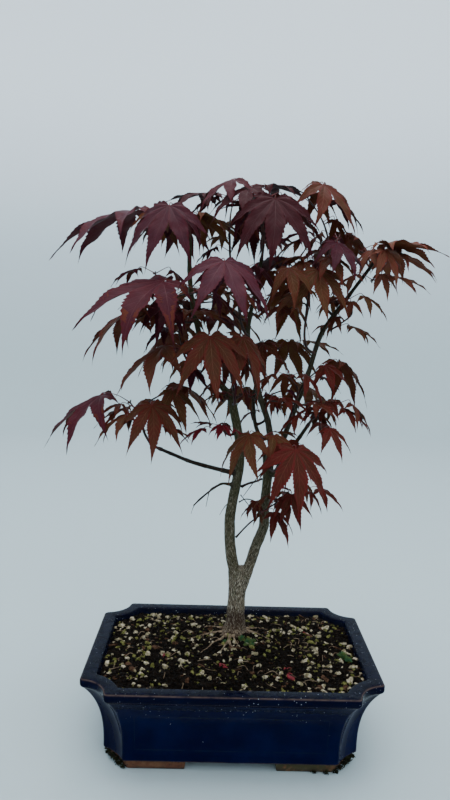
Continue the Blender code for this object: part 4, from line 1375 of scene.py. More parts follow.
class Branch:
    """A limb laid out in metres: the centres of its sections and their radii."""

    def __init__(self, limb: Limb, laid: dict[str, "Branch"]) -> None:
        """Lay a limb out.

        Args:
            limb: The limb.
            laid: The branches laid out before it, by name.
        """
        points = [Vector(point) * MM for point in limb.points]
        if limb.parent:
            foot, leave = laid[limb.parent].bud(limb.along, points[0])
            points = [foot, foot + leave * LIMB_FOOT, *points]
        self.centres = [points[0], *smoothed(points[1:])]
        self.start, self.end = limb.start * MM / 2, limb.end * MM / 2

    def radius(self, along: float) -> float:
        """Radius at a fraction of the way along."""
        return self.start + (self.end - self.start) * along

    def at(self, along: float) -> tuple[Vector, Vector]:
        """Find a place on the centreline.

        Args:
            along: The fraction of the way along.

        Returns:
            Centre and axis there.
        """
        place = along * (len(self.centres) - 1)
        index = min(int(place), len(self.centres) - 2)
        run = self.centres[index + 1] - self.centres[index]
        return self.centres[index] + run * (place - index), run.normalized()

    def bud(self, along: float, toward: Vector) -> tuple[Vector, Vector]:
        """Find where a shoot leaves this branch.

        Args:
            along: How far along the branch, as a fraction.
            toward: The point that it makes for.

        Returns:
            The shoot's start and direction.
        """
        centre, axis = self.at(along)
        if along == 1.0:
            return centre + axis * JOINT_GAP, axis
        out = toward - centre
        out = (out - axis * out.dot(axis)).normalized()
        return centre + out * (self.radius(along) + JOINT_GAP), out

    def fine(self) -> tuple[list[Vector], list[float]]:
        """Centres about a millimetre and a half apart, and the radius at each."""
        centres = smoothed(self.centres, 6)
        last = len(centres) - 1
        return centres, [self.radius(index / last) for index in range(last + 1)]


@dataclass(frozen=True)
class Wood:
    """Trunk, stems and boughs as one skin of bark with its relief."""

    voxel: float = 0.59 * MM
    sides: int = 40
    limb_sides: int = 16
    trunk_x: float = 4.6 * MM
    trunk_y: float = 26 * MM
    sections: tuple[tuple[float, float, float, float, float], ...] = (
        (75.0, 3.0, 15.5, 14.6, 0.3), (77.0, 3.0, 13.6, 13.0, 0.24), (79.0, 3.0, 12.0, 11.6, 0.17),
        (82.0, 3.1, 10.5, 10.2, 0.1), (86.0, 3.3, 9.4, 9.2, 0.06), (95.0, 3.6, 8.6, 8.5, 0.03),
        (110.0, 4.0, 8.2, 8.1, 0.02), (122.0, 5.0, 8.7, 8.1, 0.02), (131.0, 6.4, 10.5, 7.9, 0.0),
        (138.0, 7.2, 11.9, 7.4, 0.0), (142.0, 7.4, 11.0, 6.4, 0.0))
    lobes: int = 5
    knob_spacing: float = 19 * MM
    knob_swell: float = 0.13
    foot_swell: float = 0.35
    foot_fade: float = 3.5 * MM
    root_depth: float = 12 * MM
    furrow_cells: Triple = (620, 620, 130)
    fine_cells: Triple = (1500, 1500, 420)
    lump_cells: float = 95
    lump_share: float = 0.085
    old_relief: float = 0.42 * MM
    young_relief: float = 0.07 * MM

    def trunk(self) -> BMesh:
        """The trunk with its root flare, which goes on a little into the compost."""
        rings = []
        for level, centre, half_x, half_y, flare in self.sections:
            ring = []
            for i in range(self.sides):
                turn = math.tau * i / self.sides
                fold = math.cos(self.lobes * turn) + 0.5 * math.cos(3 * turn + 1.3)
                swell = 1 + flare * fold * 0.8
                ring.append(Vector((centre * MM + half_x * MM * swell * math.cos(turn),
                                    self.trunk_y + half_y * MM * swell * math.sin(turn), level * MM)))
            rings.append(ring)
        fine = [smoothed(list(column), 4) for column in zip(*rings)]
        return extruded([list(ring) for ring in zip(*fine)])

    def limb_tube(self, limb: Limb, branch: Branch, laid: dict[str, Branch]) -> BMesh:
        """A limb's tube, sunk into its parent and thickened at its foot and its nodes.

        Args:
            limb: The limb.
            branch: The limb laid out.
            laid: All the branches, by name.

        Returns:
            The tube.
        """
        centres, radii = branch.fine()
        length = 0.0
        for index in range(1, len(centres)):
            length += (centres[index] - centres[index - 1]).length
            if limb.youth[1] >= 1.0:
                phase = (length / self.knob_spacing) % 1.0
                radii[index] *= 1 + self.knob_swell * math.exp(-((phase - 0.5) / 0.07) ** 2)
            if limb.parent and limb.along < 1.0:
                radii[index] *= 1 + self.foot_swell * math.exp(-length / self.foot_fade)
        if limb.parent:
            root, _ = laid[limb.parent].at(min(limb.along, 0.985))
            centres.insert(0, root)
            radii.insert(0, radii[0] * (1.25 if limb.along < 1.0 else 1.1))
        else:
            foot = centres[0] - Vector((0, 0, self.root_depth))
            foot.x = foot.x * 0.4 + self.trunk_x * 0.6
            centres.insert(0, foot)
            radii.insert(0, radii[0] * 0.7)
        axis = (centres[-1] - centres[-2]).normalized()
        centres.append(centres[-1] + axis * radii[-1] * 0.6)
        radii.append(radii[-1] * 0.6)
        turns = [math.tau * i / self.limb_sides for i in range(self.limb_sides)]
        return extruded([[centre + (across * math.cos(t) + other * math.sin(t)) * radius for t in turns]
                         for centre, radius, (_, across, other) in zip(centres, radii, frames(centres))])

    def skin(self, laid: dict[str, Branch]) -> Mesh:
        """One even skin round the trunk and all the limbs.

        Args:
            laid: The branches, by name.

        Returns:
            The skin's mesh.
        """
        blank = bpy.data.meshes.new("wood blank")
        joined = bmesh.new()
        parts = [self.trunk()]
        parts += [self.limb_tube(limb, laid[limb.name], laid) for limb in LIMBS]
        for part in parts:
            bmesh.ops.recalc_face_normals(part, faces=part.faces)
            part.to_mesh(blank)
            part.free()
            joined.from_mesh(blank)
        joined.to_mesh(blank)
        joined.free()
        thing = placed("wood blank", blank)
        remesh = thing.modifiers.new("even skin", "REMESH")
        remesh.mode = "VOXEL"
        remesh.voxel_size = self.voxel
        smooth = thing.modifiers.new("smooth", "SMOOTH")
        smooth.factor = 0.5
        smooth.iterations = 5
        mesh = applied(thing)
        mesh.name = "maple_wood"
        return mesh

    def runs(self, laid: dict[str, Branch]) -> list[tuple]:
        """Samples of all the centrelines, each with its frame, radius and bark.

        Args:
            laid: The branches, by name.

        Returns:
            Centre, axis, two cross directions, distance along, radius, youth and green.
        """
        samples = []
        trunk = [Vector((centre * MM, self.trunk_y, level * MM)) for level, centre, *_ in self.sections]
        lines = [("trunk", smoothed(trunk, 8), 9.0 * MM, 9.0 * MM, (0.0, 0.0), (0.0, 0.15))]
        for limb in LIMBS:
            branch = laid[limb.name]
            lines.append((limb.name, branch.fine()[0], branch.start, branch.end, limb.youth, limb.green))
        for number, (_, line, start, end, youth, green) in enumerate(lines):
            length = number * 0.37
            last = len(line) - 1
            for index, (point, (axis, across, other)) in enumerate(zip(line, frames(line))):
                share = index / last
                length += (point - line[max(index - 1, 0)]).length
                samples.append((point, axis, across, other, length, start + (end - start) * share,
                                youth[0] + (youth[1] - youth[0]) * share,
                                green[0] + (green[1] - green[0]) * share))
        return samples

    def relieved(self, mesh: Mesh, laid: dict[str, Branch]) -> None:
        """Push furrows and lumps into the skin and note where each point lies on its limb.

        Args:
            mesh: The skin, changed in place.
            laid: The branches, by name.
        """
        samples = self.runs(laid)
        tree = KDTree(len(samples))
        for index, sample in enumerate(samples):
            tree.insert(sample[0], index)
        tree.balance()
        grain, youths, greens = [], [], []
        normals = [vert.normal.copy() for vert in mesh.vertices]
        for vert, normal in zip(mesh.vertices, normals):
            _, index, _ = tree.find(vert.co)
            centre, axis, across, other, length, radius, youth, green = samples[index]
            off = vert.co - centre
            spot = Vector((off.dot(across), off.dot(other), length + off.dot(axis)))
            furrow, fine = (noise.noise(Vector(a * b for a, b in zip(spot, cells)))
                            for cells in (self.furrow_cells, self.fine_cells))
            lump = noise.noise(spot * self.lump_cells)
            depth = self.old_relief * (1 - youth) + self.young_relief
            push = depth * (abs(furrow) * -1.1 + 0.35 + 0.35 * fine) + radius * self.lump_share * lump
            vert.co += normal * push
            grain.append(spot)
            youths.append(youth)
            greens.append(green)
        noted(mesh, "grain", grain)
        noted(mesh, "youth", youths)
        noted(mesh, "green", greens)

    def build(self, laid: dict[str, Branch]) -> Piece:
        """The wood as a piece.

        Args:
            laid: The branches, by name.

        Returns:
            The piece.
        """
        mesh = self.skin(laid)
        self.relieved(mesh, laid)
        mesh.shade_smooth()
        names = ["trunk", *(limb.name for limb in LIMBS)]
        return Piece("maple_wood", mesh, [Bark().material()], BARK_SLOT, names)


# ---------------- growth


@dataclass(frozen=True)
class Leaf:
    """A leaf of the outer crown: its hub in millimetres, bearing, droop, span, roll and own tint."""

    x: float
    y: float
    z: float
    bearing: float
    droop: float
    span: float
    roll: float = 0
    tint: LeafTint | None = None


@dataclass(frozen=True)
class Mass:
    """A mass of leaves on one stem that grows from a limb, and its two tints."""

    name: str
    limb: str
    along: float
    leaves: tuple[Leaf, ...]
    fill: int
    seed: int
    tints: tuple[LeafTint, LeafTint]


DUSK, PURPLE, MAUVE = LeafTint.DUSK, LeafTint.PURPLE, LeafTint.MAUVE
PLUM, RUSSET, EMBER = LeafTint.PLUM, LeafTint.RUSSET, LeafTint.EMBER
WINE, BRONZE, CRIMSON = LeafTint.WINE, LeafTint.BRONZE, LeafTint.CRIMSON
MASSES = (
    Mass("leaves_left_top", "left_leader", 1.0,
         (Leaf(-62, -25, 463, -110, 47, 54), Leaf(-98, 32, 466, -172, 20, 78, 0, MAUVE)),
         3, 41, (PURPLE, BRONZE)),
    Mass("leaves_left_middle", "left_leader", 0.55,
         (Leaf(-64, -50, 401, -160, 18, 74, -20), Leaf(-87, -12, 380, 168, 31, 58, 0, RUSSET),
          Leaf(-65, -5, 388, -99, 52, 41), Leaf(-92, 20, 415, 168, 21, 28)), 1, 12, (PLUM, RUSSET)),
    Mass("leaves_left_low", "left_leader", 0.12,
         (Leaf(-66, -10, 348, -150, 35, 52),), 2, 13, (EMBER, PLUM)),
    Mass("leaves_left_bough", "left_bough", 1.0,
         (Leaf(-73, -30, 300, -77, 47, 44), Leaf(-120, -2, 304, -170, 32, 58, 0, PLUM)),
         2, 14, (RUSSET, BRONZE)),
    Mass("leaves_centre_low", "left_stem", 0.97,
         (Leaf(-26, -50, 359, -81, 53, 50), Leaf(1, -25, 358, -51, 56, 46)), 0, 15, (RUSSET, BRONZE)),
    Mass("leaves_centre_front", "inner_leader", 0.62,
         (Leaf(-16, -52, 418, -72, 38, 58), Leaf(-10, -40, 418, -127, 43, 34)), 0, 16, (MAUVE, RUSSET)),
    Mass("leaves_centre_back", "inner_leader", 0.72,
         (Leaf(-22, 60, 391, 12, 35, 58),), 2, 17, (BRONZE, RUSSET)),
    Mass("leaves_top", "inner_leader", 1.0,
         (Leaf(24, -25, 471, -92, 52, 60), Leaf(4, 5, 485, -139, 31, 48),
          Leaf(20, 45, 494, 37, 0, 50), Leaf(12, 55, 472, 94, 61, 41)), 0, 18, (DUSK, PLUM)),
    Mass("leaves_top_back", "inner_leader", 0.88,
         (Leaf(-30, 60, 488, -174, 6, 47),), 3, 49, (DUSK, BRONZE)),
    Mass("leaves_right_top", "right_bough", 0.93,
         (Leaf(68, 12, 490, -48, 48, 62, 10, RUSSET), Leaf(79, -8, 439, -59, 42, 38),
          Leaf(56, 25, 451, -148, 16, 30)), 2, 20, (PURPLE, RUSSET)),
    Mass("leaves_right_middle", "right_bough", 0.72,
         (Leaf(64, -5, 416, -85, 49, 46), Leaf(38, -15, 417, -78, 46, 37)), 1, 21, (BRONZE, RUSSET)),
    Mass("leaves_right_tip", "right_bough_tip", 1.0,
         (Leaf(125, 12, 441, -22, 4, 53), Leaf(127, 20, 435, 17, 14, 52),
          Leaf(131, 10, 414, -18, 14, 34)), 1, 22, (EMBER, EMBER)),
    Mass("leaves_right_spur", "right_bough_tip", 0.15,
         (Leaf(106, 6, 396, -29, 32, 26), Leaf(97, 15, 370, -21, 23, 30)), 0, 23, (BRONZE, RUSSET)),
    Mass("leaves_right_inner", "right_bough", 0.35,
         (Leaf(56, -5, 327, -39, 45, 27),), 1, 24, (WINE, RUSSET)),
    Mass("leaves_right_low", "right_low_bough", 1.0,
         (Leaf(81, 5, 302, -122, 28, 27), Leaf(93, 5, 297, -23, 28, 29),
          Leaf(77, -25, 283, -69, 39, 28), Leaf(39, -5, 306, -36, 15, 26)), 0, 25, (WINE, RUSSET)),
    Mass("leaves_right_front", "right_stem", 0.93,
         (Leaf(46, -50, 269, -79, 60, 49),), 0, 26, (WINE, WINE)),
    Mass("leaves_right_foot", "right_stem", 0.78,
         (Leaf(48, -12, 222, -69, 48, 29), Leaf(73, 0, 225, -25, 26, 26),
          Leaf(34, -5, 204, -47, 45, 29)), 0, 27, (WINE, BRONZE)),
    Mass("leaves_front_low", "inner_leader", 0.12,
         (Leaf(9, -28, 277, -134, 45, 39),), 0, 28, (BRONZE, RUSSET)),
    Mass("leaves_back_low", "back_bough", 0.55,
         (Leaf(4, 66, 306, 110, 40, 42), Leaf(62, 62, 312, 25, 35, 46)), 1, 29, (BRONZE, PLUM)),
    Mass("leaves_back_middle", "back_bough", 1.0,
         (Leaf(-18, 64, 350, 140, 35, 48), Leaf(48, 66, 352, 60, 45, 46)), 2, 30, (BRONZE, RUSSET)),
    Mass("leaves_young", "left_stem", 0.8,
         (Leaf(-30, -2, 277, -170, 25, 24), Leaf(-14, -8, 281, -100, 20, 20)), 0, 31, (CRIMSON, WINE)),
)
PARTS_OF_CROWN = {
    "crown_left": ["leaves_left_top", "leaves_left_middle", "leaves_left_low", "leaves_left_bough"],
    "crown_centre": ["leaves_centre_low", "leaves_centre_front", "leaves_centre_back", "leaves_front_low",
                      "leaves_young"],
    "crown_top": ["leaves_top", "leaves_top_back"],
    "crown_right": ["leaves_right_top", "leaves_right_middle", "leaves_right_tip", "leaves_right_spur"],
    "crown_right_low": ["leaves_right_inner", "leaves_right_low", "leaves_right_front",
                        "leaves_right_foot"],
    "crown_back": ["leaves_back_low", "leaves_back_middle"],
}


@dataclass(frozen=True)
class Rule:
    """The numbers of the rule by which twigs and leaves grow."""

    lobes: tuple[Pair, ...] = (
        (-120, 0.4), (-77, 0.74), (-38, 0.94), (0, 1.0), (38, 0.94), (77, 0.74), (120, 0.4))
    small_lobes: tuple[Pair, ...] = (
        (-92, 0.4), (-44, 0.86), (0, 1.0), (44, 0.86), (92, 0.4))
    small_span: float = 38 * MM
    narrow_lobe: float = 0.5
    stalk_angle: float = 22
    stalk_sinus: float = 0.14
    sinus: float = 0.33
    lobe_widest: float = 0.5
    lobe_half_width: float = 0.155
    lobe_cup: float = 0.02
    hub_thickness: float = 1.3 * MM
    rib_thickness: float = 1.1 * MM
    leaf_sag: float = 0.22
    outer_loose: float = 24
    pair_loose: float = 70
    filler_loose: float = 60
    droop_per_turn: float = 0.6
    leaf_roll: float = 8
    leaf_shrink: float = 0.25
    stem_radii: Pair = (1.7 * MM, 1.3 * MM)
    twig_radii: Pair = (1.15 * MM, 0.85 * MM)
    petiole_radii: Pair = (0.8 * MM, 0.5 * MM)
    petiole_base: float = 7 * MM
    petiole_per_span: float = 0.32
    petiole_lift: float = 14
    petiole_hook: float = 4 * MM
    short_petiole: float = 20 * MM
    long_twig: float = 30 * MM
    twig_twist: float = 0.7
    twig_bend: float = 0.45
    stem_share: float = 0.55
    stations: int = 3
    sink: float = 1 * MM
    pair_turn: Pair = (15, 45)
    pair_span: Pair = (0.75, 0.95)
    pair_droop: Pair = (22, 48)
    filler_spread: float = 62
    filler_step: float = 2.4
    filler_reach: Pair = (26 * MM, 44 * MM)
    filler_rise: Pair = (-15, 45)
    filler_droop: Pair = (25, 50)
    filler_span: Pair = (42 * MM, 54 * MM)
    fine_tries: int = 6
    fine_place: Pair = (0.3, 0.98)
    fine_span: Pair = (18, 40)
    fine_droop: Pair = (15, 55)
    fine_loose: float = 90
    fine_borne: float = 2.2
    fine_reach: float = 2 * MM
    clearance: float = 0.6 * MM
    tries: int = 28
    stray: float = 1.6
    half_length: float = 175 * MM
    half_width: float = 107 * MM
    top: float = 496 * MM
    foot: float = 150 * MM

    def inside(self, verts: Iterable[Vector]) -> bool:
        """True where every vertex keeps to the crown's space."""
        return all(abs(v.x) < self.half_length and abs(v.y) < self.half_width
                   and self.foot < v.z < self.top for v in verts)


RULE = Rule()


def direction(bearing: float, rise: float) -> Vector:
    """Unit vector at a bearing from +x and a rise above level, in degrees."""
    turn, lift = math.radians(bearing), math.radians(rise)
    return Vector((math.cos(turn) * math.cos(lift), math.sin(turn) * math.cos(lift), math.sin(lift)))


def plain_tube(centres: Sequence[Vector], radii: Pair, swell: float = 0.0) -> Solid:
    """A three-sided twig, as the solids have it, with which room is sought.

    Args:
        centres: Centre of each ring.
        radii: Radius at either end.
        swell: How much wider it is made.

    Returns:
        Vertices and faces.
    """
    sides = 3
    last = len(centres) - 1
    turns = [math.tau * side / sides for side in range(sides)]
    verts = []
    for index, (centre, (_, across, other)) in enumerate(zip(centres, frames(centres, RULE.twig_twist))):
        size = radii[0] + (radii[1] - radii[0]) * index / last + swell
        verts += [centre + (across * math.cos(turn) + other * math.sin(turn)) * size for turn in turns]
    faces = [(base + side, base + after, base + sides + after, base + sides + side)
             for base in range(0, last * sides, sides) for side, after in ((0, 1), (1, 2), (2, 0))]
    return verts, [*faces, (2, 1, 0), tuple(range(last * sides, len(verts)))]


@dataclass(frozen=True)
class Pose:
    """Where a blade lies: its hub, bearing, droop, span and roll."""

    hub: Vector
    bearing: float
    droop: float
    span: float
    roll: float

    def axes(self) -> tuple[Vector, Vector, Vector]:
        """Directions along the middle lobe, across it, and out of the blade's face."""
        ahead = direction(self.bearing, -self.droop)
        turn = math.radians(self.bearing)
        across = Matrix.Rotation(math.radians(self.roll), 3, ahead) @ Vector(
            (-math.sin(turn), math.cos(turn), 0))
        return ahead, across, ahead.cross(across)

    def lobes(self) -> tuple[Pair, ...]:
        """Angle and share of span of each lobe."""
        return RULE.small_lobes if self.span < RULE.small_span else RULE.lobes

    def blade(self, swell: float = 0.0) -> Solid:
        """The plain blade, as the solids have it, with which room is sought.

        Args:
            swell: How much bigger it is made.

        Returns:
            Vertices and faces.
        """
        ahead, across, normal = self.axes()
        span, hub = self.span, self.hub

        def place(angle: float, length: float, aside: float = 0.0, height: float = 0.0) -> Vector:
            """A point of the blade, with the sag of its distance from the hub."""
            turn = math.radians(angle)
            along = length * math.cos(turn) - aside * math.sin(turn)
            off = length * math.sin(turn) + aside * math.cos(turn)
            fall = RULE.leaf_sag * span * (math.hypot(along, off) / span) ** 2
            return hub + ahead * along + across * off + normal * height - Vector((0, 0, fall))

        lobes = self.lobes()
        verts = [place(0, 0, 0, RULE.hub_thickness / 2 + swell),
                 place(0, 0, 0, -RULE.hub_thickness / 2 - swell)]
        faces = []
        stalk_side = lobes[0][0] - RULE.stalk_angle
        verts.append(place(stalk_side, span * RULE.stalk_sinus + swell))
        for index, (angle, share) in enumerate(lobes):
            length = span * share + swell
            last = index == len(lobes) - 1
            start = len(verts) - 1
            if share > RULE.narrow_lobe:
                width = length * RULE.lobe_half_width + swell
                rib = len(verts)
                verts += [place(angle, length * RULE.lobe_widest, 0, RULE.rib_thickness + swell),
                          place(angle, length * RULE.lobe_widest, -width, RULE.lobe_cup * span),
                          place(angle, length),
                          place(angle, length * RULE.lobe_widest, width, RULE.lobe_cup * span)]
                rim = [start, rib + 1, rib + 2, rib + 3, rib + 4]
            else:
                rib = 0
                verts.append(place(angle, length))
                rim = [start, len(verts) - 1, len(verts)]
            if last:
                verts.append(place(-stalk_side, span * RULE.stalk_sinus + swell))
            else:
                between = (angle + lobes[index + 1][0]) / 2
                narrow = min(share, lobes[index + 1][1]) < RULE.narrow_lobe
                verts.append(place(between, span * RULE.sinus * (0.75 if narrow else 1) + swell))
            for here, after in zip(rim, rim[1:]):
                faces.append((here, after, rib))
                faces.append((after, here, 1))
            if rib:
                faces += [(0, rim[0], rib), (rim[-1], 0, rib)]
        faces += [(0, len(verts) - 1, 2), (1, 2, len(verts) - 1)]
        return verts, faces

    def stalk(self) -> float:
        """Length of the petiole that carries the blade."""
        return RULE.petiole_base + RULE.petiole_per_span * self.span

    def node(self) -> Vector:
        """Where the petiole leaves its twig."""
        return self.hub - direction(self.bearing, RULE.petiole_lift) * self.stalk()

    def petiole(self, node: Vector) -> list[Vector]:
        """Lay the petiole, which hooks over into the blade's hub.

        Args:
            node: Where it starts.

        Returns:
            Its centres.
        """
        hook = self.hub - direction(self.bearing, -self.droop) * RULE.petiole_hook
        path = [node, node.lerp(hook, 0.5) + Vector((0, 0, self.stalk() * 0.08)), hook, self.hub]
        if self.stalk() < RULE.short_petiole:
            path.pop(1)
        return path


class Space:
    """What has grown already, so that a new leaf or twig can keep clear of it."""

    def __init__(self) -> None:
        """Start empty."""
        self.pieces: list[tuple] = []

    @staticmethod
    def bounds(verts: Sequence[Vector]) -> tuple[list[float], list[float]]:
        """Lowest and highest corner of some vertices."""
        return ([min(v[axis] for v in verts) for axis in range(3)],
                [max(v[axis] for v in verts) for axis in range(3)])

    def add(self, owner: str, verts: Sequence[Vector], faces: Sequence[tuple[int, ...]]) -> tuple:
        """Remember a solid under its owner's name.

        Args:
            owner: The owner.
            verts: The solid's vertices.
            faces: Its faces.

        Returns:
            The record of it, which can be dropped again.
        """
        piece = (owner, *self.bounds(verts), BVHTree.FromPolygons(verts, faces))
        self.pieces.append(piece)
        return piece

    def drop(self, piece: tuple) -> None:
        """Forget a solid that came to nothing."""
        self.pieces.remove(piece)

    def touched(self, verts: Sequence[Vector], faces: Sequence[tuple[int, ...]],
                ignore: Sequence[str] = ()) -> bool:
        """True where a solid would meet one whose owner isn't ignored.

        Args:
            verts: The solid's vertices.
            faces: Its faces.
            ignore: Owners that it may meet.

        Returns:
            Whether it meets any other.
        """
        low, high = self.bounds(verts)
        tree = BVHTree.FromPolygons(verts, faces)
        for owner, floor, roof, other in self.pieces:
            if owner in ignore:
                continue
            if any(low[axis] > roof[axis] or high[axis] < floor[axis] for axis in range(3)):
                continue
            if tree.overlap(other):
                return True
        return False


def curved(start: Vector, leave: Vector, end: Vector, steps: int) -> list[Vector]:
    """Lay a bent line.

    Args:
        start: Where it starts.
        leave: The direction in which it sets off.
        end: Where it ends.
        steps: How many steps it takes.

    Returns:
        Its points.
    """
    middle = start + leave * (end - start).length * RULE.twig_bend
    shares = [i / steps for i in range(steps + 1)]
    return [start * (1 - t) ** 2 + middle * 2 * t * (1 - t) + end * t ** 2 for t in shares]


@dataclass(frozen=True)
class Spray:
    """A leaf on its petiole: where it hangs from, its pose, its tint and its kind."""

    node: Vector
    pose: Pose
    tint: LeafTint
    kind: int


class Grower:
    """Grows one mass: a stem, twigs, and opposite pairs of leaves on petioles."""

    def __init__(self, mass: Mass, branches: dict[str, Branch], space: Space) -> None:
        """Start a mass on its limb.

        Args:
            mass: The mass.
            branches: The branches, by name.
            space: What has grown already.
        """
        self.mass = mass
        self.branch = branches[mass.limb]
        self.space = space
        self.rule = random.Random(mass.seed)
        self.looks = random.Random(mass.seed * 101)
        self.outer: list[tuple] = []
        self.pairs: list[tuple[Vector, Pose]] = []
        self.stem: list[Vector] = []
        self.end = Vector()
        self.twigs: list[list[Vector]] = []
        self.sprays: list[Spray] = []

    def keep(self, solid: Solid) -> None:
        """Add a solid to the space that others keep clear of."""
        self.space.add(self.mass.name, *solid)

    def keep_tube(self, line: Sequence[Vector], radii: Pair) -> None:
        """Add a plain tube to the space that others keep clear of."""
        self.keep(plain_tube(line, radii))

    def keep_leaf(self, pose: Pose, foot: Vector) -> None:
        """Add a blade and the petiole that runs to it from its foot."""
        self.keep(pose.blade())
        self.keep_tube(pose.petiole(foot), RULE.petiole_radii)

    def clear(self, solid: Solid) -> bool:
        """True where a solid keeps clear of everything."""
        return not self.space.touched(*solid)

    def room(self, line: Sequence[Vector], radii: Pair, gap: float = RULE.clearance) -> bool:
        """True where a tube keeps this gap from everything but its own mass."""
        return not self.space.touched(*plain_tube(line, radii, gap), ignore=(self.mass.name,))

    def bear(self, twig: Sequence[Vector], node: Vector, pose: Pose,
             tint: LeafTint | None = None) -> None:
        """Note a leaf and its twig.

        Args:
            twig: The twig's centres; empty where the leaf has none of its own.
            node: Where the leaf's petiole starts.
            pose: The leaf's pose.
            tint: Its tint, or None where one of the mass's two is dealt out.
        """
        tint = tint or self.mass.tints[self.looks.random() > 0.5]
        self.sprays.append(Spray(node, pose, tint, self.looks.randrange(100)))
        if twig:
            self.twigs.append(list(twig))

    def stray(self, leave: Vector, attempt: int) -> Vector:
        """A direction that strays further from the wanted one with each attempt."""
        wander = Vector((self.rule.uniform(-1, 1) for _ in range(3))) * RULE.stray * attempt / RULE.tries
        return (leave + wander).normalized()

    def fit(self, wanted: Pose, loose: float, node: Vector | None = None) -> Pose | None:
        """The first clear pose near the wanted one.

        Args:
            wanted: The wanted pose.
            loose: How far the leaf may turn in the end, in degrees.
            node: Where it hangs from, if that is fixed.

        Returns:
            The pose, or None where there is no room.
        """
        for attempt in range(RULE.tries):
            share = attempt / RULE.tries
            turn = wanted.bearing + self.rule.uniform(-loose, loose) * share
            fall = wanted.droop + self.rule.uniform(-loose, loose) * share * RULE.droop_per_turn
            roll = wanted.roll + self.rule.uniform(-RULE.leaf_roll, RULE.leaf_roll)
            span = wanted.span * (1 - RULE.leaf_shrink * share)
            hub = wanted.hub
            if node:
                stalk = RULE.petiole_base + RULE.petiole_per_span * span
                hub = node + direction(turn, RULE.petiole_lift) * stalk
            pose = Pose(hub, turn, fall, span, roll)
            fat = pose.blade(RULE.clearance)
            if not RULE.inside(fat[0]) or not self.clear(fat) or not self.clear(pose.blade()):
                continue
            if node and not self.room(pose.petiole(node), RULE.petiole_radii):
                continue
            return pose
        return None

    def place_outer(self) -> None:
        """Place the blades of the outer leaves."""
        for leaf in self.mass.leaves:
            hub = Vector((leaf.x, leaf.y, leaf.z)) * MM
            pose = self.fit(Pose(hub, leaf.bearing, leaf.droop, leaf.span * MM, leaf.roll),
                            RULE.outer_loose)
            if pose:
                tint = leaf.tint or self.mass.tints[0]
                self.outer.append((pose, self.space.add(self.mass.name, *pose.blade()), tint))

    def grow_stem(self) -> None:
        """Grow the stem from its limb towards the middle of the outer leaves."""
        hubs = [Vector((leaf.x, leaf.y, leaf.z)) * MM for leaf in self.mass.leaves]
        middle = sum(hubs, Vector()) / len(hubs)
        start, leave = self.branch.bud(self.mass.along, middle)
        self.end = start.lerp(middle, RULE.stem_share)
        foot = start + leave * LIMB_FOOT
        for attempt in range(RULE.tries):
            self.stem = [start, *curved(foot, self.stray(leave, attempt), self.end, 4)]
            if self.room(self.stem[1:], RULE.stem_radii) and self.room(self.stem, RULE.stem_radii, 0.0):
                break
        self.keep_tube(self.stem, RULE.stem_radii)

    def route(self, node: Vector, index: int, count: int) -> list[Vector] | None:
        """Route of a twig from the stem to a node.

        Args:
            node: Where it ends.
            index: Which of the twigs it is.
            count: How many twigs there are.

        Returns:
            The route, or None where nothing is clear.
        """
        station = len(self.stem) - 1 - (count - 1 - index) % RULE.stations
        onward = (self.stem[station] - self.stem[station - 1]).normalized()
        foot = self.stem[station] - onward * RULE.sink
        steps = 3 if (node - foot).length > RULE.long_twig else 2
        for attempt in range(RULE.tries):
            path = curved(foot, self.stray(onward, attempt), node, steps)
            if self.room(path, RULE.twig_radii):
                return path
        return None

    def grow_outer(self) -> None:
        """Grow a twig to each outer leaf, and drop the leaves that none can reach."""
        self.outer.sort(key=lambda placed: (placed[0].node() - self.stem[0]).length)
        for index, (pose, piece, tint) in enumerate(self.outer):
            node = pose.node()
            petiole = pose.petiole(node)
            path = self.route(node, index, len(self.outer))
            if not path or not self.room(petiole, RULE.petiole_radii):
                self.space.drop(piece)
                continue
            self.keep_tube(path + petiole[1:], (RULE.twig_radii[0], RULE.petiole_radii[1]))
            self.bear(path, node, pose, tint)
            self.pair(path, pose)

    def pair(self, path: Sequence[Vector], pose: Pose) -> None:
        """Note where the leaf opposite another will grow.

        Args:
            path: The twig that carries both.
            pose: The pose of the other.
        """
        across = pose.bearing + 180 + self.rule.choice((-1, 1)) * self.rule.uniform(*RULE.pair_turn)
        span = pose.span * self.rule.uniform(*RULE.pair_span)
        foot = path[-1] - (path[-1] - path[-2]).normalized() * RULE.sink
        self.pairs.append((foot, Pose(pose.hub, across, self.rule.uniform(*RULE.pair_droop), span, 0)))

    def grow_pairs(self) -> None:
        """Grow the leaf opposite each leaf that has a twig."""
        for foot, wanted in self.pairs:
            pose = self.fit(wanted, RULE.pair_loose, foot)
            if pose:
                self.keep_leaf(pose, foot)
                self.bear((), foot, pose)
        self.pairs.clear()

    def grow_fillers(self) -> None:
        """Grow seeded twigs with a pair of leaves each, towards the back."""
        for index in range(self.mass.fill):
            bearing = 90 + RULE.filler_spread * math.sin(RULE.filler_step * index + self.mass.seed)
            reach = self.rule.uniform(*RULE.filler_reach)
            node = self.end + direction(bearing, self.rule.uniform(*RULE.filler_rise)) * reach
            path = self.route(node, index, self.mass.fill)
            droop = self.rule.uniform(*RULE.filler_droop)
            wanted = Pose(node, bearing, droop, self.rule.uniform(*RULE.filler_span), 0)
            pose = self.fit(wanted, RULE.filler_loose, node) if path else None
            if pose:
                self.keep(pose.blade())
                self.keep_tube(path + pose.petiole(node)[1:], (RULE.twig_radii[0], RULE.petiole_radii[1]))
                self.bear(path, node, pose)
                self.pair(path, pose)

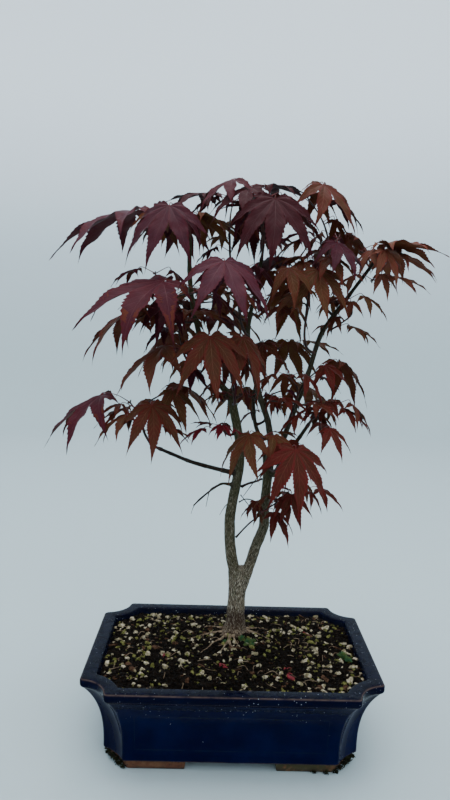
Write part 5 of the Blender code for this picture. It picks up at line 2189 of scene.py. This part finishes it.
    def grow_fine(self) -> None:
        """Grow finer shoots with small leaves on the twigs, where there is room left."""
        low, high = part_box(self.mass.name)
        reach = RULE.fine_reach
        for path in [*self.twigs, self.stem]:
            borne = 0
            for _ in range(RULE.fine_tries):
                share = self.looks.uniform(*RULE.fine_place)
                place = share * (len(path) - 1)
                index = min(int(place), len(path) - 2)
                foot = path[index].lerp(path[index + 1], place - index)
                span = self.looks.uniform(*RULE.fine_span) * MM
                if any(math.hypot(foot.x - x * MM, foot.z - z * MM) < r * MM for x, z, r in OPENINGS):
                    continue
                bearing, droop = self.looks.uniform(0, 360), self.looks.uniform(*RULE.fine_droop)
                pose = self.fit(Pose(foot, bearing, droop, span, 0), RULE.fine_loose, foot)
                if pose is None:
                    continue
                verts = pose.blade()[0]
                if all(low[a] - reach < v[a] < high[a] + reach for v in verts for a in range(3)):
                    self.keep_leaf(pose, foot)
                    self.bear((), foot, pose)
                    borne += 1
                    if borne > self.looks.random() * RULE.fine_borne:
                        break


# ---------------- crown


class LeafPattern:
    """A flat blade with toothed lobes, in shares of its span, laid at each pose."""

    columns = (-1.0, -0.55, -0.1, 0.0, 0.1, 0.55, 1.0)
    hub_rows = 3
    half_width = 0.147
    notch = 1.02
    rib = 0.0034
    fold = 0.4
    cup = 0.3
    curl = 0.06
    ruffle = 0.016
    rise = 0.26
    hang = 0.88
    growth = 1.04
    thickness = 0.32 * MM
    middle_column = 0.55
    tooth_size = (0.6, 1.3)
    tooth_swell = 0.06
    tooth_out = 0.0055
    tooth_ahead = 0.013
    tooth_nick = 0.04
    tooth_end = 0.975
    tip_power = 1.7
    tip_belly = 1.25
    bend = 0.11
    dip = (-0.06, 0.24)
    waves = (1.6, 2.8)

    def __init__(self, lobes: Sequence[Pair], teeth: int, seed: int) -> None:
        """Draw the blade.

        Args:
            lobes: Angle and length of each lobe.
            teeth: Teeth on either side of the longest lobe.
            seed: Seed of what makes this blade differ from the others.
        """
        self.chance = random.Random(seed)
        self.known: dict[tuple[float, float, int], int] = {}
        self.spots: list[tuple[float, float, float, int, float, float]] = []
        self.faces: list[tuple[int, ...]] = []
        self.marks: list[int] = []
        for index, (angle, share) in enumerate(lobes):
            before = lobes[index - 1] if index else None
            after = lobes[index + 1] if index + 1 < len(lobes) else None
            self.lobe(angle, share, self.sinus(angle, share, before), self.sinus(angle, share, after),
                      max(4, round(teeth * share ** 1.2)), (before is None, after is None))
        spots = np.array(self.spots)
        self.flat, self.lift, self.below, self.maps = spots[:, :2], spots[:, 2], spots[:, 3], spots[:, 4:]
        self.table = np.array([face + (-1,) * (4 - len(face)) for face in self.faces])
        self.finish = np.array(self.marks)

    @staticmethod
    def sinus(angle: float, share: float, other: Pair | None) -> Pair:
        """Where the notch beside a lobe lies, along the lobe and beside it.

        Args:
            angle: The lobe's angle.
            share: Its length.
            other: Angle and length of its neighbour, or None on the stalk's side.

        Returns:
            Distance along the lobe's rib and from it.
        """
        if other is None:
            reach, half = RULE.stalk_sinus, math.radians(RULE.stalk_angle)
        else:
            narrow = min(share, other[1]) < RULE.narrow_lobe
            reach = RULE.sinus * LeafPattern.notch * (0.75 if narrow else 1)
            half = math.radians(abs(angle - other[0]) / 2)
        return reach * math.cos(half), reach * math.sin(half)

    def edge(self, share: float, notch: Pair, teeth: int) -> list[tuple[float, ...]]:
        """One side of a lobe, row by row.

        Args:
            share: The lobe's length.
            notch: Where the side starts, along the rib and beside it.
            teeth: Teeth on this side.

        Returns:
            Distance along the rib and beside it without teeth, then with them.
        """
        start, narrow = notch
        widest = max(self.half_width * share, narrow * 1.02)
        belly = max(0.5 * share, start + 0.05)
        slit = narrow / start * 0.98
        rows = [(start * row / self.hub_rows, narrow * row / self.hub_rows) * 2
                for row in range(self.hub_rows + 1)]
        for tooth in range(teeth):
            size = self.chance.uniform(*self.tooth_size)
            for part in (0.55, 1.0):
                along = start + (share * self.tooth_end - start) * (tooth + part) / (teeth + 0.35)
                if along < belly:
                    rise = (along - start) / (belly - start)
                    beside = narrow + (widest - narrow) * math.sin(math.pi / 2 * rise)
                else:
                    fall = (along - belly) / (share - belly)
                    beside = widest * (1 - fall) ** self.tip_power * (1 + self.tip_belly * fall)
                beside = min(beside, slit * along)
                fade = min(1.0, (1 - along / share) * 3.5)
                if part < 1:
                    out = beside * (1 + self.tooth_swell * size * fade) + self.tooth_out * size * fade
                    rows.append((along, beside, along + self.tooth_ahead * size * fade, out))
                else:
                    rows.append((along, beside, along, beside * (1 - self.tooth_nick * fade)))
        rows.append((share, 0.0) * 2)
        return rows

    def spot(self, x: float, y: float, lift: float, below: int, side: float, along: float) -> int:
        """Find the vertex at a place, which is made if it is new.

        Args:
            x: Its place along the blade.
            y: Its place across the blade.
            lift: Its height above the flat blade.
            below: One on the underside, nought on top.
            side: Where it lies beside the rib, on the map.
            along: Where it lies along the lobe, on the map.

        Returns:
            Its number.
        """
        key = (round(x, 6), round(y, 6), below)
        if key not in self.known:
            self.known[key] = len(self.spots)
            self.spots.append((x, y, lift, below, side, along))
        return self.known[key]

    def face(self, corners: Sequence[int], mark: int) -> None:
        """Add a face, or the triangle it comes to where corners meet.

        Args:
            corners: Its corners.
            mark: Number of its finish.
        """
        kept = tuple(corner for i, corner in enumerate(corners) if corner != corners[i - 1])
        if len(set(kept)) > 2:
            self.faces.append(kept)
            self.marks.append(mark)

    def lobe(self, angle: float, share: float, left: Pair, right: Pair,
             teeth: int, open_sides: tuple[bool, bool]) -> None:
        """Draw one lobe, with the wedge of the blade between its rib and the notches beside it.

        Args:
            angle: The lobe's angle.
            share: Its length.
            left: Where the notch on its first side lies.
            right: Where the notch on its other side lies.
            teeth: Teeth on either side.
            open_sides: Whether each side is the blade's own edge from the hub on.
        """
        sides = (self.edge(share, left, teeth), self.edge(share, right, teeth))
        bend = self.chance.uniform(-self.bend, self.bend)
        dip = self.chance.uniform(*self.dip) * min(1.0, abs(angle) / 75)
        phase = self.chance.uniform(0, math.tau)
        waves = self.chance.uniform(*self.waves)
        turn = math.radians(angle)
        upper, lower = [], []
        last = len(sides[0]) - 1
        start = (left[0] + right[0]) / 2
        for row in range(last + 1):
            middle = (sides[0][row][0] + sides[1][row][0]) / 2
            past = max(0.0, (middle - start) / (share - start))
            shift = bend * past ** 2 * share
            rib = self.rib * (1 - 0.75 * past) * min(1.0, row / 2)
            tops, unders = [], []
            for column in self.columns:
                side = sides[0] if column < 0 else sides[1]
                along, beside, tooth_along, tooth_beside = side[row]
                part = abs(column)
                if part == 1.0:
                    a, w = tooth_along, math.copysign(tooth_beside, column)
                elif part == self.middle_column:
                    a, w = middle * (1 - part) + along * part, math.copysign(beside * part, column)
                else:
                    a, w = middle, math.copysign(min(rib, beside * 0.4), column) if column else 0.0
                lift = self.fold * abs(w) + (0.003 if part == 0 and 0 < past < 1 else 0)
                wave = math.sin(past * waves * math.tau + phase)
                lift += self.ruffle * part ** 1.5 * wave * min(1, past * 4)
                lift -= self.curl * max(0.0, (past - 0.6) / 0.4) ** 2 + dip * past ** 2
                if row > self.hub_rows:
                    w += shift
                x = a * math.cos(turn) - w * math.sin(turn)
                y = a * math.sin(turn) + w * math.cos(turn)
                tops.append(self.spot(x, y, lift, 0, part, a / share))
                if part in (0.0, 1.0):
                    own_edge = row >= self.hub_rows or open_sides[column > 0]
                    rim = row in (0, last) or (part == 1.0 and own_edge)
                    unders.append(self.spot(x, y, lift, 0 if rim else 1, part, a / share))
            upper.append(tops)
            lower.append(unders)
        for row in range(last):
            for column in range(len(self.columns) - 1):
                ribbed = 2 <= column <= 3
                self.face((upper[row][column], upper[row + 1][column], upper[row + 1][column + 1],
                           upper[row][column + 1]), 2 if ribbed else 0)
            for column in range(2):
                self.face((lower[row][column], lower[row][column + 1], lower[row + 1][column + 1],
                           lower[row + 1][column]), 1)

    def lay(self, pose: Pose, sag: float) -> np.ndarray:
        """Vertices of the blade at a pose.

        Args:
            pose: The pose.
            sag: How much it sags, as a multiple of the rule's.

        Returns:
            One vertex to a row.
        """
        ahead, across, normal = (np.array(axis) for axis in pose.axes())
        flat = self.flat * pose.span * self.growth
        reach = (self.flat ** 2).sum(1)
        bow = math.sin(math.radians(pose.droop))
        rise = self.rise * bow
        sag *= min(1.0, 0.55 + 0.9 * bow)
        lift = self.lift - self.cup * (0.5 + bow) * self.flat[:, 1] ** 2
        height = lift * pose.span - self.below * self.thickness
        points = np.array(pose.hub) + np.outer(flat[:, 0], ahead) + np.outer(flat[:, 1], across * self.hang)
        points = points + np.outer(height, normal)
        points[:, 2] += (rise * self.flat[:, 0] - (RULE.leaf_sag + rise) * sag * reach) * pose.span
        return points


class Crown:
    """All the masses grown by the rule, dressed as leaves, petioles, twigs and buds."""

    shoots = (
        (((-17, 18.5, 221.0), (-23, 17, 217.5), (-25.2, 15.5, 210), (-26.6, 14, 202)), 0.62, 0.2),
        (((-30, 16, 211), (-34, 14, 208), (-38, 12.5, 202), (-40, 11, 196)), 0.5, 0.16),
        (((-4.5, 23, 204), (-8, 22, 202), (-11, 20, 198.5), (-14, 18, 193.5)), 0.55, 0.18),
        (((2.0, 24, 171.0), (9, 22, 180), (15, 20, 187), (21.5, 18, 192.6), (25.5, 18, 197)), 0.85, 0.55),
        (((5.5, 23, 219.5), (12, 22, 223), (18, 21, 225), (24, 20, 228)), 1.25, 0.8),
        (((23.5, 20, 233.5), (17, 21, 225), (11, 22, 216), (7.5, 22, 210.7)), 0.5, 0.28),
        (((5.0, 24, 211.5), (10, 21, 206), (16.7, 18, 198)), 0.45, 0.25),
        (((3.8, 24, 204.6), (9, 22, 208), (14.5, 19, 208.4), (18.5, 17.5, 207.5)), 0.6, 0.4),
        (((-6, 14, 301), (-12, 10, 303), (-17, 6, 308)), 1.4, 0.7),
        (((-6, 14, 300), (-3, 8, 306), (-3, 3, 313)), 1.3, 0.5),
        (((-6, 14, 301), (2, 14, 305), (6, 12, 311)), 1.2, 0.5))
    knobs = ((-10, 12, 302.5, 2.6), (-4, 10.5, 303.5, 2.4), (-13.5, 9.5, 304.5, 1.8), (-1, 13.5, 303, 2.1),
             (-8, 9.5, 306, 2.0), (-14, 14, 300, 2.0), (1.5, 14.8, 305.5, 1.5), (-6, 14, 308, 2.4),
             (2.2, 23.8, 171.2, 1.1), (9.0, 22.3, 221.5, 1.4), (14.5, 21.6, 223.8, 1.2))
    stem_size = (1.35 * MM, 0.95 * MM, 8)
    twig_size = (0.88 * MM, 0.62 * MM, 7)
    full_span = 50 * MM
    stalk = (0.34, 0.3, 0.16)
    swells = (0.22, 0.4, 0.35)
    bud_size = (0.8, 1.3)
    bud_form = (0.55, 0.72, 0.12)
    scale_form = (0.55, 0.5, 0.12)
    scales = 5
    twig_finish = Shoot("young bark", (0.052, 0.02, 0.016), (0.016, 0.01, 0.008), 0.5)
    stalk_finish = Shoot("leaf stalk", (0.165, 0.018, 0.02), (0.075, 0.014, 0.012), 0.42)
    bud_finish = Shoot("bud scale", (0.07, 0.03, 0.02), (0.02, 0.012, 0.009), 0.6)
    small = ((18.5, 17, 208.0, -100, 62, 17, WINE), (24.5, 18, 197.5, -150, 50, 14, BRONZE),
             (-16, 4, 308.5, -140, 40, 13, CRIMSON))

    def __init__(self, branches: dict[str, Branch]) -> None:
        """Grow the crown.

        Args:
            branches: The branches, by name.
        """
        space = Space()
        for name in ("trunk", *(limb.name for limb in LIMBS)):
            space.add(name, *packed(name))
        self.growers = [Grower(mass, branches, space) for mass in MASSES]
        for stage in (Grower.place_outer, Grower.grow_stem, Grower.grow_outer, Grower.grow_pairs,
                      Grower.grow_fillers, Grower.grow_pairs):
            for grower in self.growers:
                stage(grower)
        for grower in self.growers:
            self.compare(grower)
        for grower in self.growers:
            grower.grow_fine()
        self.large = [LeafPattern(RULE.lobes, 13, 500 + seed) for seed in range(6)]
        self.little = [LeafPattern(RULE.small_lobes, 8, 600 + seed) for seed in range(4)]

    @staticmethod
    def compare(grower: Grower) -> None:
        """Log how far a mass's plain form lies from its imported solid.

        Args:
            grower: The mass's grower, before its fine shoots.
        """
        low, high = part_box(grower.mass.name)
        verts = [v for spray in grower.sprays for v in spray.pose.blade()[0]]
        gap = max(max(min(v[a] for v in verts) - low[a], high[a] - max(v[a] for v in verts))
                  for a in range(3))
        LOG.info("%s: %d leaves, within %.2f mm of its solid", grower.mass.name, len(grower.sprays),
                 gap / MM)

    def add_leaf(self, bundle: Bundle, pose: Pose, tint: LeafTint, kind: int) -> None:
        """Lay a leaf of one tint.

        Args:
            bundle: Where it goes.
            pose: Its pose.
            tint: Its tint.
            kind: Picks its pattern and its sag.
        """
        kinds = self.little if pose.span < RULE.small_span else self.large
        pattern = kinds[kind % len(kinds)]
        points = pattern.lay(pose, 0.9 + 0.02 * (kind % 11))
        marks = pattern.finish + 3 * list(LeafTint).index(tint)
        bundle.add(points, pattern.table, marks, pattern.maps)

    def leaves(self) -> list[Piece]:
        """The leaves, a piece for each part of the crown.

        Returns:
            The pieces.
        """
        skins = [skin for tint in LeafTint for skin in tint.skins()]
        pieces = []
        for name, masses in PARTS_OF_CROWN.items():
            bundle = Bundle()
            for grower in self.growers:
                if grower.mass.name in masses:
                    for spray in grower.sprays:
                        self.add_leaf(bundle, spray.pose, spray.tint, spray.kind)
            if name == "crown_centre":
                for x, y, z, bearing, droop, span, tint in self.small:
                    pose = Pose(Vector((x, y, z)) * MM, bearing, droop, span * MM, 0)
                    self.add_leaf(bundle, pose, tint, int(span))
            pieces.append(Piece(name, bundle.mesh(name, 70), skins, LEAF_SLOT, masses))
        return pieces

    def twigs(self) -> Piece:
        """Stems, twigs and fine shoots as a piece."""
        bundle = Bundle()
        for grower in self.growers:
            start, onward = grower.stem[0], (grower.stem[1] - grower.stem[0]).normalized()
            line = [start - onward * 3 * MM, *smoothed(grower.stem, 5)]
            self.knotted(bundle, line, *self.stem_size)
            for twig in grower.twigs:
                self.knotted(bundle, smoothed(twig, 5), *self.twig_size)
        for points, start, end in self.shoots:
            line = smoothed([Vector(point) * MM for point in points], 4)
            self.knotted(bundle, line, start * MM, end * MM, 7)
        return self.fine_piece("twigs", bundle, self.twig_finish)

    @staticmethod
    def fine_piece(name: str, bundle: Bundle, finish: Shoot) -> Piece:
        """A bundle of fine shoots as a piece."""
        return Piece(name, bundle.mesh(name, 80), [finish.material()], TWIG_SLOT)

    @staticmethod
    def knotted(bundle: Bundle, line: Sequence[Vector], start: float, end: float, sides: int) -> None:
        """Add a twig that thickens at its foot, its nodes and its end.

        Args:
            bundle: Where it goes.
            line: Its centres.
            start: Radius at its foot.
            end: Radius at its end.
            sides: Points to a ring.
        """
        last = len(line) - 1
        node, foot, tip = Crown.swells
        radii = []
        for index in range(last + 1):
            share = index / last
            knot = node * math.exp(-((share - 0.5) / 0.06) ** 2) + foot * math.exp(-share / 0.06)
            knot += tip * math.exp(-(1 - share) / 0.07) * (end > 0.5 * MM)
            radii.append((start + (end - start) * share) * (1 + knot))
        bundle.tube(line, radii, sides)

    def petioles(self) -> Piece:
        """Leaf stalks as a piece."""
        bundle = Bundle()
        thin, foot, head = self.stalk
        for grower in self.growers:
            for spray in grower.sprays:
                line = smoothed(spray.pose.petiole(spray.node), 4)
                size = 0.75 + 0.25 * min(1.0, spray.pose.span / self.full_span)
                shares = [i / (len(line) - 1) for i in range(len(line))]
                radii = [(thin + foot * math.exp(-t / 0.12) + head * math.exp(-(1 - t) / 0.1)) * MM * size
                         for t in shares]
                bundle.tube(line, radii, 6)
        return self.fine_piece("petioles", bundle, self.stalk_finish)

    def buds(self) -> Piece:
        """Pairs of small buds at the nodes and the knobs of old ones as a piece."""
        bundle = Bundle()
        chance = random.Random(88)
        for grower in self.growers:
            for twig in grower.twigs:
                axis = (twig[-1] - twig[-2]).normalized()
                side = axis.orthogonal().normalized()
                for sign in (-1, 1):
                    out = (axis + side * sign * 0.9).normalized()
                    size = chance.uniform(*self.bud_size) * MM
                    foot = twig[-1] + side * sign * 0.5 * MM
                    bundle.tube([foot, foot + out * size, foot + out * size * 2.1],
                                [share * size for share in self.bud_form], 6)
        for x, y, z, size in self.knobs:
            centre = Vector((x, y, z)) * MM
            for _ in range(self.scales):
                out = Vector((chance.uniform(-1, 1), chance.uniform(-1, 1), chance.uniform(-0.4, 1)))
                out.normalize()
                tip = centre + out * size * MM
                bundle.tube([centre - out * 0.4 * MM, centre.lerp(tip, 0.6), tip],
                            [size * share * MM for share in self.scale_form], 6)
        return self.fine_piece("buds", bundle, self.bud_finish)

    def build(self) -> list[Piece]:
        """Everything in the crown as pieces, one for each kind and part."""
        return [*self.leaves(), self.twigs(), self.petioles(), self.buds()]


# ---------------- studio


@dataclass(frozen=True)
class Studio:
    """A pale floor that curves up into a wall all round, soft light, and the camera."""

    radius: float = 2.3
    curve: float = 0.6
    wall: float = 3.6
    floor_colour: Colour = (0.44, 0.54, 0.57)
    wall_colour: Colour = (0.88, 0.94, 1.0)
    sky: float = 0.3
    aim: Vector = Vector((0, 0, 0.2)).freeze()
    lens: float = 31.5
    eye: Triple = (-0.01876, -0.60892, 0.37476)
    pitch: float = -0.1184
    yaw: float = 0.0109
    roll: float = 0.02785

    def floor(self) -> None:
        """The floor and the wall, as one turned sheet."""
        shape = bmesh.new()
        profile = [Vector((0, 0, 0)), Vector((self.radius - self.curve, 0, 0))]
        for step in range(1, 13):
            turn = math.pi / 2 * step / 12
            profile.append(Vector((self.radius - self.curve + self.curve * math.sin(turn), 0,
                                   self.curve * (1 - math.cos(turn)))))
        profile.append(Vector((self.radius, 0, self.wall)))
        line = [shape.verts.new(point) for point in profile]
        edges = [shape.edges.new(pair) for pair in zip(line, line[1:])]
        bmesh.ops.spin(shape, geom=[*line, *edges], cent=(0, 0, 0), axis=(0, 0, 1), angle=math.tau,
                       steps=64, use_merge=True)
        bmesh.ops.remove_doubles(shape, verts=shape.verts, dist=0.01 * MM)
        for vert in shape.verts:
            vert.co.z -= 0.05 * MM
        mesh = settled(shape, "studio_floor", 60)
        bench = Bench("studio floor")
        colour = bench.mix(bench.level().between(0.1, 1.3), self.floor_colour, self.wall_colour)
        mesh.materials.append(bench.dress(base_color=colour, roughness=0.85))
        thing = placed("studio_floor", mesh)
        thing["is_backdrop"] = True

    def lamp(self, name: str, place: Vector, size: float, power: float, colour: Colour) -> None:
        """A soft square lamp that faces the plant.

        Args:
            name: Its name.
            place: Where it hangs.
            size: Its side.
            power: Its power in watts.
            colour: Its colour.
        """
        lamp = bpy.data.lights.new(name, "AREA")
        lamp.size = size
        lamp.energy = power
        lamp.color = colour
        thing = placed(name, lamp)
        thing.location = place
        thing.rotation_euler = (self.aim - place).to_track_quat("-Z", "Y").to_euler()

    def camera(self) -> None:
        """The camera, at eye height in front of the pot and turned a little."""
        lens = bpy.data.cameras.new("camera")
        lens.lens = self.lens
        lens.sensor_width = 36
        eye = placed("camera", lens)
        look = Vector((math.sin(self.yaw) * math.cos(self.pitch), math.cos(self.yaw) * math.cos(self.pitch),
                       math.sin(self.pitch)))
        level = Vector((math.cos(self.yaw), -math.sin(self.yaw), 0))
        rise = level.cross(look)
        right = level * math.cos(self.roll) + rise * math.sin(self.roll)
        up = rise * math.cos(self.roll) - level * math.sin(self.roll)
        axes = Matrix((right, up, -look)).transposed()
        eye.matrix_world = Matrix.Translation(self.eye) @ axes.to_4x4()
        bpy.context.scene.camera = eye

    def build(self) -> None:
        """Floor, lamps, sky and camera."""
        self.floor()
        self.lamp("overhead", Vector((-0.1, 0.2, 2.5)), 2.4, 80, (0.97, 0.99, 1.0))
        self.lamp("front fill", Vector((0.5, -1.5, 1.7)), 1.4, 15, (1.0, 0.98, 0.95))
        world = bpy.data.worlds.new("soft sky")
        world.use_nodes = True
        sky = world.node_tree.nodes["Background"]
        sky.inputs["Color"].default_value = (0.86, 0.93, 1.0, 1)
        sky.inputs["Strength"].default_value = self.sky
        bpy.context.scene.world = world
        self.camera()


def write_size() -> None:
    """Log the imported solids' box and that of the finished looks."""
    boxes = {"cad": CAD_BOX, "visual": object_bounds()}
    sizes = {name: [list(corner) for corner in box] for name, box in boxes.items()}
    for name, (low, high) in boxes.items():
        LOG.info("%s box: %s", name, [round((b - a) / MM, 1) for a, b in zip(low, high)])


def main() -> None:
    """Build the pot, the feet, the compost, the wood, the crown and the studio."""
    logging.basicConfig(level=logging.INFO, format="%(name)s %(message)s")
    noise.seed_set(NOISE_SEED)
    Pot().build().show()
    for piece in [*Feet().build(), *SoilTop().build()]:
        piece.show()
    branches: dict[str, Branch] = {}
    for limb in LIMBS:
        branches[limb.name] = Branch(limb, branches)
    Wood().build(branches).show()
    for piece in Crown(branches).build():
        piece.show()
    Studio().build()
    write_size()


if __name__ == "__main__":
    main()
